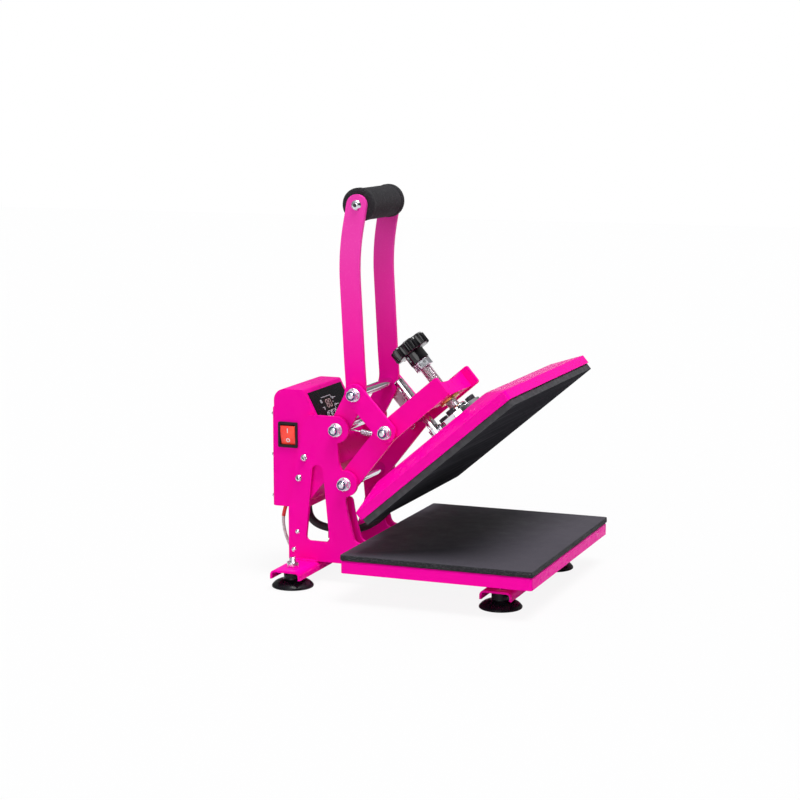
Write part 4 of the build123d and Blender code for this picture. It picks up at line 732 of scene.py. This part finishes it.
def suction_cups():
    """Turned rubber cups, each with a neck, a domed bell, a rim bead and a hollow underside."""
    outer = [(23.9, 0.0), (24.6, 0.5), (24.75, 1.2), (24.7, 1.9), (24.1, 2.8), (23.1, 4.0), (21.6, 5.4)]
    outer += [(19.6, 6.8), (17.2, 7.9), (14.6, 8.6), (12.2, 8.95), (11.1, 9.2), (10.6, 9.9), (10.45, 12.0)]
    outer += [(10.5, 18.5), (10.2, 19.6), (9.4, 20.4), (4.1, 20.5)]
    inner = [(4.1, 5.0), (9.0, 4.9), (13.5, 4.0), (17.5, 2.5), (20.0, 1.0), (21.2, 0.0)]
    parts = []
    for x, y in FEET:
        cup = lathe(outer + inner, 96, closed=True)
        parts.append(moved(cup, up_at(x, CENTRE_Y + y, 0)))
    cups = piece("suction_cups", *joined(parts), MAT["rubber"], "base", "black_rubber", smooth=50)
    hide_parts("foot_cups")


# ---------------------------------------------------------------- threads, nuts and heads
def thread(radius, depth, pitch, start, end, sides=48, per_pitch=8, taper=1.0):
    """A right-hand thread about Z."""
    rows = int((end - start) / pitch * per_pitch) + 1
    outlines = []
    for row in range(rows):
        z = start + (end - start) * row / (rows - 1)
        edge = min(1.0, (z - start) / taper, (end - z) / taper)
        ring = []
        for i in range(sides):
            turn = i / sides
            t = (z / pitch - turn) % 1.0
            height = min(1.0, max(0.0, (abs(t - 0.5) * 2 - 0.12) / 0.76))
            r = radius - depth * (1 - height) - 0.6 * depth * (1 - max(edge, 0.0))
            a = 2 * math.pi * turn
            ring.append((r * math.cos(a), r * math.sin(a), z))
        outlines.append(ring)
    return rings(outlines)


def hexagon(flats, height, chamfer=0.7, sides=60):
    """A hexagon with the round chamfer that a turned nut has at both ends."""
    outlines = []
    corner = flats / math.sqrt(3)

    def radius_at(a, cap):
        a = (a + math.pi / 6) % (math.pi / 3) - math.pi / 6
        return min(flats / 2 / math.cos(a), cap)

    end_cap = flats / 2 * 0.97
    for z, cap in ((0.0, end_cap), (chamfer, corner), (height - chamfer, corner), (height, end_cap)):
        ring = []
        for i in range(sides):
            a = 2 * math.pi * i / sides
            r = radius_at(a, cap)
            ring.append((r * math.cos(a), r * math.sin(a), z))
        outlines.append(ring)
    return rings(outlines)


def foot_studs():
    parts = []
    for x, y in FEET:
        low = thread(3.95, 0.5, 1.25, 5.1, 34.9, 40, 8, taper=1.0)
        nut = moved(hexagon(13.0, 6.4), up_at(0, 0, 23.0))
        parts.append(moved(joined([low, nut]), up_at(x, CENTRE_Y + y, 0)))
    studs = piece("threaded_foot_studs", *joined(parts), MAT["zinc"], "base", "zinc_steel", smooth=35)
    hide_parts("foot_studs")


def pressure_screw():
    shank = thread(7.0, 0.95, 2.0, 98.6, 193.1, 64, 10, taper=1.5)
    screw = piece(
        "pressure_thread", *moved(shank, up_at(0, SCREW_Y, 0)), MAT["thread"], "screw", "zinc_steel", TILT, 30
    )
    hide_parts("pressure_screw")


def star_knob():
    """Lobed knob with fine ribs round each lobe, soft edges, a dished top with a cap, and a hub."""
    radius, lobes, sides = 23.4, 7, 420
    hollow_centre, hollow = 25.5, 6.35

    def outline(inset, height, ribs):
        ring = []
        for i in range(sides):
            a = 2 * math.pi * i / sides
            step = 2 * math.pi / lobes
            off = (a % step) - step / 2
            r = radius
            reach = hollow / hollow_centre
            if abs(math.sin(off)) < reach and abs(off) < 1:
                root = math.sqrt(hollow**2 - (hollow_centre * math.sin(off)) ** 2)
                r = min(r, hollow_centre * math.cos(off) - root)
            on_lobe = min(1.0, max(0.0, (abs(off) - 0.27) / 0.05))
            r -= ribs * on_lobe * (0.5 - 0.5 * math.cos(abs(off) * 2 * math.pi / 0.072))
            r -= inset
            ring.append((r * math.cos(a), r * math.sin(a), height))
        return ring

    def circle(r, height):
        return [
            (r * math.cos(2 * math.pi * i / sides), r * math.sin(2 * math.pi * i / sides), height)
            for i in range(sides)
        ]

    hub = [(7.2, 0.4), (8.5, 0.0), (11.3, 0.0), (12.0, 0.4), (12.2, 1.2), (12.1, 7.0), (11.9, 12.2)]
    hub += [(12.1, 13.2), (13.0, 13.6)]
    star = [(3.2, 13.6, 0.0), (1.1, 13.6, 0.2), (0.35, 14.1, 0.5), (0.0, 15.2, 0.8), (0.0, 20.5, 0.8)]
    star += [(0.0, 26.2, 0.8), (0.4, 27.3, 0.5), (1.2, 27.9, 0.2), (3.0, 27.95, 0.0)]
    cap = [(14.0, 27.4), (12.2, 27.2), (11.9, 27.6), (11.0, 27.85), (6.0, 27.95), (1.5, 28.0)]
    outlines = [circle(*row) for row in hub] + [outline(*row) for row in star] + [circle(*row) for row in cap]
    knob = piece(
        "ribbed_star_knob", *moved(rings(outlines), up_at(0, SCREW_Y, KNOB_BOTTOM)), MAT["knob"], "screw",
        "black_plastic", TILT, 38,
    )
    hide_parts("star_knob")


def nut_details():
    """Crimped lip and nylon insert on each locknut, and a domed end on each bolt."""
    spots = [
        ("base", LOWER_PIVOT, 0.0), ("base", UPPER_PIVOT, 0.0),
        ("handle", LEVER_END, 0.2), ("link", LINK_END, 0.0),
    ]
    insert_profile = [(4.05, -0.5), (4.05, 0.22), (4.3, 0.42), (5.1, 0.42), (5.35, 0.2), (5.35, -0.5)]
    lip_profile = [(5.3, -0.6), (5.3, 0.25), (5.5, 0.55), (5.85, 0.55), (6.05, 0.3), (6.08, -0.6)]
    for index, (body, (y, z), extra) in enumerate(spots, start=1):
        face = -(OUTER_FACE + WASHER + NUT_HEIGHT + extra)
        insert = lathe(insert_profile, 48, True)
        lip = lathe(lip_profile, 48, True)
        place = about_x(face, y, z)
        piece("nylon_ring_%d" % index, *moved(insert, place), MAT["nylon"], body, "black_plastic", smooth=50)
        piece("nut_lip_%d" % index, *moved(lip, place), MAT["zinc"], body, "zinc_steel", smooth=50)
        dome = lathe([(3.0, 1.45), (2.7, 1.60), (1.9, 1.72), (0.9, 1.78)], 40)
        piece("bolt_dome_%d" % index, *moved(dome, place), MAT["zinc"], body, "zinc_steel", smooth=60)


def cross_shape(arm, width, depth):
    """A cross-head recess, as a thin dark plate that fills it: painted shade where the hollow is."""
    w = width / 2
    outline = [(w, w), (arm, w), (arm, -w), (w, -w), (w, -arm), (-w, -arm), (-w, -w), (-arm, -w)]
    outline += [(-arm, w), (-w, w), (-w, arm), (w, arm)]
    return rings([[(x, y, 0) for x, y in outline], [(x, y, depth) for x, y in outline]])


def recesses():
    """Dark plates in the screw heads' drive recesses, painted shade where the hollows are, each in the crown
    of its own head.
    """
    sockets, crosses, rears = [], [], []
    for side in (-1, 1):
        corners = [(2.3 * math.cos(math.pi * k / 3), 2.3 * math.sin(math.pi * k / 3)) for k in range(6)]
        socket = rings([[(x, y, h) for x, y in corners] for h in (-1.0, 0.08)])
        sockets.append(moved(socket, about_x(side * 58.95, *GRIP, side=side)))
        for y, z in ((CENTRE_Y + 198.0, 147.0), (CENTRE_Y + 205.0, 122.0)):
            turn = Matrix.Rotation(0.6 + y, 4, "Z")
            crosses.append(moved(cross_shape(2.1, 0.9, 0.9), about_x(side * 63.75, y, z, side) @ turn))
        for z in (97.0, 147.0, 196.0):
            facing = Matrix.Rotation(math.radians(-90), 4, "X")
            spot = Matrix.Translation(Vector((side * 51.0, CENTRE_Y + 242.9, z))) @ facing
            rears.append(moved(cross_shape(1.5, 0.7, 0.7), spot @ Matrix.Rotation(z, 4, "Z")))
    # Dark plates standing for the shade in the sockets and cross recesses: painted shade.
    piece("grip_socket_shade", *joined(sockets), MAT["recess_shade"], "handle", "black_steel", smooth=30)
    piece("screw_cross_shade", *joined(crosses + rears), MAT["recess_shade"], "base", "black_steel", smooth=30)


# ---------------------------------------------------------------- weld beads
def weld_beads():
    """Short beads along the foot of each upright, on the rear channel and on the front one."""
    random.seed(7)
    parts = []
    runs = []
    for side in (-1, 1):
        x = side * (OUTER_FACE + 0.2)
        runs.append(((x, CENTRE_Y + 181.0, 23.2), (x, CENTRE_Y + 211.0, 23.2)))
        runs.append(((x, CENTRE_Y - 78.0, 23.2), (x, CENTRE_Y - 48.0, 23.2)))
        runs.append(((side * 42.2, CENTRE_Y + 183.0, 23.2), (side * 42.2, CENTRE_Y + 211.0, 23.2)))
    for start, end in runs:
        start, end = Vector(start), Vector(end)
        count = int((end - start).length / 1.5)
        path, radii = [], []
        for k in range(count + 1):
            p = start.lerp(end, k / count)
            p += Vector((random.uniform(-0.2, 0.2), 0, random.uniform(-0.1, 0.2)))
            path.append(p)
            radii.append(1.7 + 0.55 * math.sin(k * 2.6) + random.uniform(-0.25, 0.25))
        radii[0] = radii[-1] = 0.5
        parts.append(tube(path, lambda t, r=radii: r[min(len(r) - 1, round(t * (len(r) - 1)))], 14))
    piece("weld_beads", *joined(parts), MAT["gloss_paint"], "base", "magenta_paint", smooth=70)


# ---------------------------------------------------------------- display, buttons and rocker marks
def flat_strip(points, width, height=0.12):
    """A printed line, as a thin raised strip along points on the panel."""
    parts = []
    for a, b in zip(points, points[1:]):
        a, b = Vector((*a, 0)), Vector((*b, 0))
        along = (b - a).normalized() * width / 2
        side = Vector((-along.y, along.x, 0))
        ring = [a - along + side, a - along - side, b + along - side, b + along + side]
        parts.append(rings([[tuple(p) for p in ring], [(p.x, p.y, height) for p in ring]]))
    return joined(parts)


def ring_strip(x, y, radius, width, height=0.12, start=0, end=360, steps=28):
    outer, inner = radius + width / 2, radius - width / 2
    points, faces = [], []
    for k in range(steps + 1):
        a = math.radians(start + (end - start) * k / steps)
        for r, h in ((outer, 0), (outer, height), (inner, height), (inner, 0)):
            points.append((x + r * math.cos(a), y + r * math.sin(a), h))
    for k in range(steps):
        for i in range(4):
            j = (i + 1) % 4
            faces.append((4 * k + i, 4 * k + j, 4 * k + 4 + j, 4 * k + 4 + i))
    faces.append((0, 1, 2, 3))
    faces.append(tuple(4 * steps + i for i in (3, 2, 1, 0)))
    return points, faces


SEGMENTS = {"0": "abcdef", "8": "abcdefg"}


def digit(figure, x, y, width=5.0, height=9.4, bar=1.05):
    """A seven-segment figure, with its lower left corner at x, y."""
    w, h, g = width, height, 0.35
    lines = {
        "a": ((g, h), (w - g, h)), "b": ((w, h - g), (w, h / 2 + g)), "c": ((w, h / 2 - g), (w, g)),
        "d": ((g, 0), (w - g, 0)), "e": ((0, g), (0, h / 2 - g)), "f": ((0, h / 2 + g), (0, h - g)),
        "g": ((g, h / 2), (w - g, h / 2)),
    }
    parts = []
    for name in SEGMENTS[figure]:
        (x0, y0), (x1, y1) = lines[name]
        slant = 0.08
        a = (x + x0 + slant * y0, y + y0)
        b = (x + x1 + slant * y1, y + y1)
        shorten = 0.45
        d = Vector((b[0] - a[0], b[1] - a[1])).normalized() * shorten
        parts.append(flat_strip([(a[0] + d.x, a[1] + d.y), (b[0] - d.x, b[1] - d.y)], bar, 0.15))
    return joined(parts)


def display_marks():
    digits = [digit(f, -7.6 + 8.2 * i, -4.7, bar=0.8) for i, f in enumerate("80")]
    window = panel_matrix(-8.0, 5.5 + 19.5, 1.2)
    piece("led_digits", *joined(digits), MAT["digits"], "base", "white_plastic", window, 0)
    lines = [
        flat_strip([(-14.6, 8.9), (11.8, 8.9), (11.8, 4.2)], 0.6),
        flat_strip([(-12.6, -8.9), (11.8, -8.9), (11.8, -3.6)], 0.6),
        flat_strip([(11.8, 0.9), (11.8, -0.6)], 0.6),
        ring_strip(-19.2, 4.4, 1.7, 0.75),
        flat_strip([(-16.9, 2.6), (-16.9, 6.2)], 0.6),
        flat_strip([(-21.4, -3.0), (-18.2, -3.0), (-18.2, -6.0)], 0.75),
        flat_strip([(-16.9, -6.0), (-16.9, -2.2)], 0.6),
    ]
    for y in (5.0, -4.2):
        lines.append(ring_strip(15.2, y, 1.35, 0.6))
        lines.append(flat_strip([(18.0, y), (23.4, y)], 0.8))
    piece("panel_print", *joined(lines), MAT["ink"], "base", "white_plastic", window, 0)
    for index in range(4):
        x = -8.0 - 16.8 + 11.2 * index
        icons = [ring_strip(0, 0, 3.35, 0.95, start=20, end=340)]
        if index == 0:
            icons.append(flat_strip([(0, 1.4), (0, -1.4)], 0.8))
        if index in (1, 2):
            tip = 1.2 if index == 1 else -1.2
            icons.append(flat_strip([(-1.4, -tip / 2), (0, tip), (1.4, -tip / 2)], 0.7))
        if index == 3:
            icons.append(flat_strip([(-1.3, 0), (-0.2, -1.2), (1.5, 1.3)], 0.7))
        piece(
            "button_icon_%d" % (index + 1), *joined(icons), MAT["ink"], "button_%d" % (index + 1),
            "white_plastic", panel_matrix(x, 5.5 + 33.0, 2.4), 0,
        )


def rocker_marks():
    """A line above and a ring below on the rocker."""
    pin = Vector((-BOX_SIDE + 3.0, 0, 0))
    turn = Matrix.Translation(Vector((0, SWITCH[0], SWITCH[1]))) @ Matrix.Translation(pin)
    turn = turn @ Matrix.Rotation(math.radians(-SWITCH_TILT), 4, "Y") @ Matrix.Translation(-pin)
    slope = math.atan2(1.2, 11.5)
    marks = []
    line = flat_strip([(0, -2.3), (0, 2.3)], 1.0, 0.2)
    circle = ring_strip(0, 0, 2.0, 0.95, 0.2)
    for way, shape in ((1, line), (-1, circle)):
        middle = Vector((-BOX_SIDE - 1.6, 0, way * 5.9))
        out = Vector((-math.cos(slope), 0, way * math.sin(slope)))
        up = (Vector((0, 0, 1)) - out * out.z).normalized()
        axes = Matrix((up.cross(out), up, out)).transposed().to_4x4()
        marks.append(moved(shape, turn @ Matrix.Translation(middle + out * 0.02) @ axes))
    piece("rocker_marks", *joined(marks), MAT["white"], "rocker", "white_plastic", smooth=0)


def inlet_blades():
    """Bright blades in the mains inlet's well."""
    blades = []
    rear = CENTRE_Y + 240.5
    height = 4.6
    for dx, dz in ((-7, -2), (7, -2), (0, 3)):
        x, z = 22.0 + dx, 112.0 + dz
        outline = [(-1.2, -height / 2), (1.2, -height / 2), (1.2, height / 2), (-1.2, height / 2)]
        ring = [[(x + u * s, y, z + v * s) for u, v in outline] for y, s in
                ((rear - 16.9, 1.0), (rear - 4.0, 1.0), (rear - 2.6, 0.6))]
        blades.append(rings(ring))
    piece("inlet_blades", *joined(blades), MAT["zinc"], "base", "zinc_steel", smooth=30)


# ---------------------------------------------------------------- leads and springs
def route_curve(name, points):
    """The smooth line of a lead: an open NURBS spline with the route's points."""
    curve = bpy.data.curves.new(name, "CURVE")
    curve.dimensions = "3D"
    spline = curve.splines.new("NURBS")
    spline.points.add(len(points) - 1)
    for point, place in zip(spline.points, points):
        point.co = (*(Vector(place) * MM), 1.0)
    spline.order_u = 3
    spline.use_endpoint_u = True
    curve.resolution_u = 16
    return curve


def sampled(curve):
    """Points along a curve with no bevel, in metres."""
    holder = bpy.data.objects.new("route_holder", curve)
    bpy.context.scene.collection.objects.link(holder)
    bpy.context.view_layer.update()
    graph = bpy.context.evaluated_depsgraph_get()
    mesh = bpy.data.meshes.new_from_object(holder.evaluated_get(graph))
    points = [v.co.copy() for v in mesh.vertices]
    bpy.data.meshes.remove(mesh)
    bpy.data.objects.remove(holder)
    return points


def length_of(points):
    return sum((b - a).length for a, b in zip(points, points[1:]))


LEAD_ROUTE = [
    (5.0, CENTRE_Y + y, z) for y, z in (
        (222.5, 76.2), (222.2, 70.0), (220.3, 62.0), (215.0, 55.3), (206.5, 51.0), (194.0, 48.6),
        (179.0, 47.8), (162.0, 49.0), (144.0, 55.0), (126.0, 67.5),
    )
]
STRAP_ROUTE = [
    (-48.0, CENTRE_Y + y, z)
    for y, z in ((228.0, 84.6), (232.0, 73.0), (231.0, 57.0), (226.0, 42.0), (219.4, 30.0), (218.9, 15.0))
]


def heater_lead():
    last = [TILT @ (Vector((5.0, CENTRE_Y + 115.5 + d, 71.0)) * MM) / MM for d in (23.3, 9.3)]
    curve = route_curve("heater_lead_route", LEAD_ROUTE + last)
    path = sampled(curve)
    shape = tube([p / MM for p in path], 4.72, 24)
    lead = piece("heater_lead_sleeve", *shape, MAT["sleeve"], None, "black_rubber", smooth=60)
    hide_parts("heater_lead")
    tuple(path[0])
    length_of(path)
    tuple(path[int(len(path) * 0.45)])
    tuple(path[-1])
    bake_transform(lead)


def earth_strap():
    """Tinned strands twisted together, with a red sleeve over the upper end."""
    curve = route_curve("earth_strap_route", STRAP_ROUTE)
    path = sampled(curve)
    strands = []
    for k in range(4):
        line = []
        for i, p in enumerate(path):
            tangent = (path[min(i + 1, len(path) - 1)] - path[max(i - 1, 0)]).normalized()
            side = Vector((1, 0, 0))
            other = tangent.cross(side).normalized()
            a = 2 * math.pi * k / 4 + i * 0.42
            line.append(p / MM + (side * math.cos(a) + other * math.sin(a)) * 1.08)
        strands.append(tube(line, 0.88, 10))
    strap = piece("earth_strap_braid", *joined(strands), MAT["braid"], "base", "copper_braid", smooth=70)
    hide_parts("earth_strap")
    covered = path[: int(len(path) * 0.17)]
    sleeve = tube([p / MM for p in covered], 2.25, 20)
    red = piece("earth_strap_sleeve", *sleeve, MAT["red_sleeve"], "base", "red_plastic", smooth=60)
    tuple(path[0])
    length_of(path)


def opening_springs():
    """Extension springs: a close-wound coil, a hook round the arm's stud and a long upper hook."""
    angle, reach = math.radians(51.5), 71.0
    hook, upper_hook, wire = 3.95, 7.9, 0.8
    coil_start, coil_length, turns, radius = 6.6, 24.0, 13, 2.65
    stud = Vector((0, LOWER_PIVOT[0] - reach * math.cos(angle), LOWER_PIVOT[1] + reach * math.sin(angle)))
    top = Vector((0, *UPPER_PIVOT))
    run = (top - stud).length
    direction = (top - stud).normalized()
    across = Vector((1, 0, 0))
    side = direction.cross(across)
    for sign, name in ((-1, "left"), (1, "right")):
        x = Vector((sign * 43.0, 0, 0))
        path = []
        for k in range(30):
            a = math.radians(150 + 290 * k / 29)
            path.append(stud + x + direction * (hook * math.cos(a)) * -1 + side * (hook * math.sin(a)))
        steps = turns * 20
        for k in range(steps + 1):
            t = k / steps
            a = 2 * math.pi * turns * t
            place = stud + x + direction * (coil_start + coil_length * t)
            path.append(place + across * (radius * math.cos(a)) + side * (radius * math.sin(a)))
        path.append(stud + x + direction * (coil_start + coil_length + 2.5))
        path.append(stud + x + direction * (run - upper_hook - 4.0))
        for k in range(34):
            a = math.radians(160 - 300 * k / 33)
            path.append(top + x + direction * (upper_hook * math.cos(a)) + side * (upper_hook * math.sin(a)))
        spring = piece(
            "opening_spring_%s" % name, *tube(path, wire, 8), MAT["zinc"], None, "zinc_steel", smooth=70
        )
        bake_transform(spring)
        if sign < 0:
            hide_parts("opening_springs")


# ---------------------------------------------------------------- stage
def math_node(tree, operation, a, b):
    """The result of a sum on two values, each a socket or a number."""
    node = tree.nodes.new("ShaderNodeMath")
    node.operation = operation
    for socket, value in zip(node.inputs, (a, b)):
        if isinstance(value, float):
            socket.default_value = value
        else:
            tree.links.new(value, socket)
    return node.outputs[0]


def range_node(tree, value, low, high, out_low, out_high):
    node = tree.nodes.new("ShaderNodeMapRange")
    tree.links.new(value, node.inputs["Value"])
    node.inputs["From Min"].default_value = low
    node.inputs["From Max"].default_value = high
    node.inputs["To Min"].default_value = out_low
    node.inputs["To Max"].default_value = out_high
    return node.outputs["Result"]


def seen_directly(tree):
    """1 on rays from the camera and on rays that came through something clear."""
    path = tree.nodes.new("ShaderNodeLightPath")
    return math_node(tree, "MAXIMUM", path.outputs["Is Camera Ray"], path.outputs["Is Transmission Ray"])


def mixed(tree, share, first, second):
    mix = tree.nodes.new("ShaderNodeMixShader")
    tree.links.new(share, mix.inputs["Fac"])
    tree.links.new(first, mix.inputs[1])
    tree.links.new(second, mix.inputs[2])
    return mix.outputs[0]


def white_floor():
    mesh = bpy.data.meshes.new("floor")
    size = 6.0
    mesh.from_pydata(
        [(-size, -size, -0.0004), (size, -size, -0.0004), (size, size, -0.0004), (-size, size, -0.0004)],
        [], [(0, 1, 2, 3)],
    )
    obj = bpy.data.objects.new("floor", mesh)
    bpy.context.scene.collection.objects.link(obj)
    material = bpy.data.materials.new("floor_pale")
    material.use_nodes = True
    tree = material.node_tree
    bsdf = tree.nodes["Principled BSDF"]
    bsdf.inputs["Base Color"].default_value = (0.62, 0.62, 0.63, 1)
    bsdf.inputs["Roughness"].default_value = 0.9
    bsdf.inputs["Specular IOR Level"].default_value = 0.05
    plain = tree.nodes.new("ShaderNodeEmission")
    plain.inputs["Color"].default_value = (1, 1, 1, 1)
    plain.inputs["Strength"].default_value = 1.0
    white_share = 0.90
    share = math_node(tree, "MULTIPLY", seen_directly(tree), white_share)
    surface = mixed(tree, share, bsdf.outputs[0], plain.outputs[0])
    tree.links.new(surface, tree.nodes["Material Output"].inputs["Surface"])
    mesh.materials.append(material)


def world():
    """White to the camera; for everything else a studio that is dimmer on the camera's side."""
    w = bpy.data.worlds.new("studio")
    bpy.context.scene.world = w
    w.use_nodes = True
    tree = w.node_tree
    tree.nodes.clear()
    out = tree.nodes.new("ShaderNodeOutputWorld")
    coords = tree.nodes.new("ShaderNodeTexCoord")
    split = tree.nodes.new("ShaderNodeSeparateXYZ")
    tree.links.new(coords.outputs["Generated"], split.inputs["Vector"])
    height = range_node(tree, split.outputs["Z"], -0.2, 0.9, 0.08, 0.50)
    near = tree.nodes.new("ShaderNodeVectorMath")
    near.operation = "DOT_PRODUCT"
    tree.links.new(coords.outputs["Generated"], near.inputs[0])
    near.inputs[1].default_value = (-0.75, -0.66, 0.02)
    dim = range_node(tree, near.outputs["Value"], 0.2, 0.95, 1.0, 0.08)
    studio = tree.nodes.new("ShaderNodeBackground")
    studio.inputs["Color"].default_value = (1, 1, 1, 1)
    tree.links.new(math_node(tree, "MULTIPLY", height, dim), studio.inputs["Strength"])
    white = tree.nodes.new("ShaderNodeBackground")
    white.inputs["Color"].default_value = (1, 1, 1, 1)
    white.inputs["Strength"].default_value = 1.0
    surface = mixed(tree, seen_directly(tree), studio.outputs[0], white.outputs[0])
    tree.links.new(surface, out.inputs["Surface"])


def sun(name, direction, strength, angle):
    data = bpy.data.lights.new(name, "SUN")
    data.energy = strength
    data.angle = math.radians(angle)
    obj = bpy.data.objects.new(name, data)
    obj.rotation_mode = "QUATERNION"
    obj.rotation_quaternion = Vector(direction).to_track_quat("-Z", "Y")
    bpy.context.scene.collection.objects.link(obj)


def lights():
    sun("key", (0.16, 0.24, -0.96), 3.5, 30)
    sun("near_fill", (0.95, 0.05, -0.30), 1.0, 40)


def camera():
    yaw, pitch = math.radians(-68.67), math.radians(9.03)
    distance, shift_right, shift_up = 2.36888, -0.09328, 0.15947
    sensor, focal_in_widths = 36.0, 2006.0 / 800.0
    back = Vector((math.sin(yaw) * math.cos(pitch), -math.cos(yaw) * math.cos(pitch), math.sin(pitch)))
    right = (-back).cross(Vector((0, 0, 1))).normalized()
    up = right.cross(-back)
    target = Vector((0, CENTRE_Y, PAD_TOP)) * MM
    data = bpy.data.cameras.new("camera")
    data.sensor_width = sensor
    data.lens = focal_in_widths * sensor
    data.clip_start = 0.1
    data.clip_end = 50.0
    obj = bpy.data.objects.new("camera", data)
    obj.location = target + back * distance + right * shift_right + up * shift_up
    obj.rotation_mode = "QUATERNION"
    obj.rotation_quaternion = (-back).to_track_quat("-Z", "Y")
    bpy.context.scene.collection.objects.link(obj)
    bpy.context.scene.camera = obj


# ---------------------------------------------------------------- build
camera()
bpy.context.scene.view_settings.view_transform = "Standard"
heater_lead()
earth_strap()
dress_nodes()
sponge_pad()
foam_sleeve()
suction_cups()
foot_studs()
pressure_screw()
star_knob()
nut_details()
recesses()
weld_beads()
display_marks()
rocker_marks()
inlet_blades()
opening_springs()
white_floor()
world()
lights()
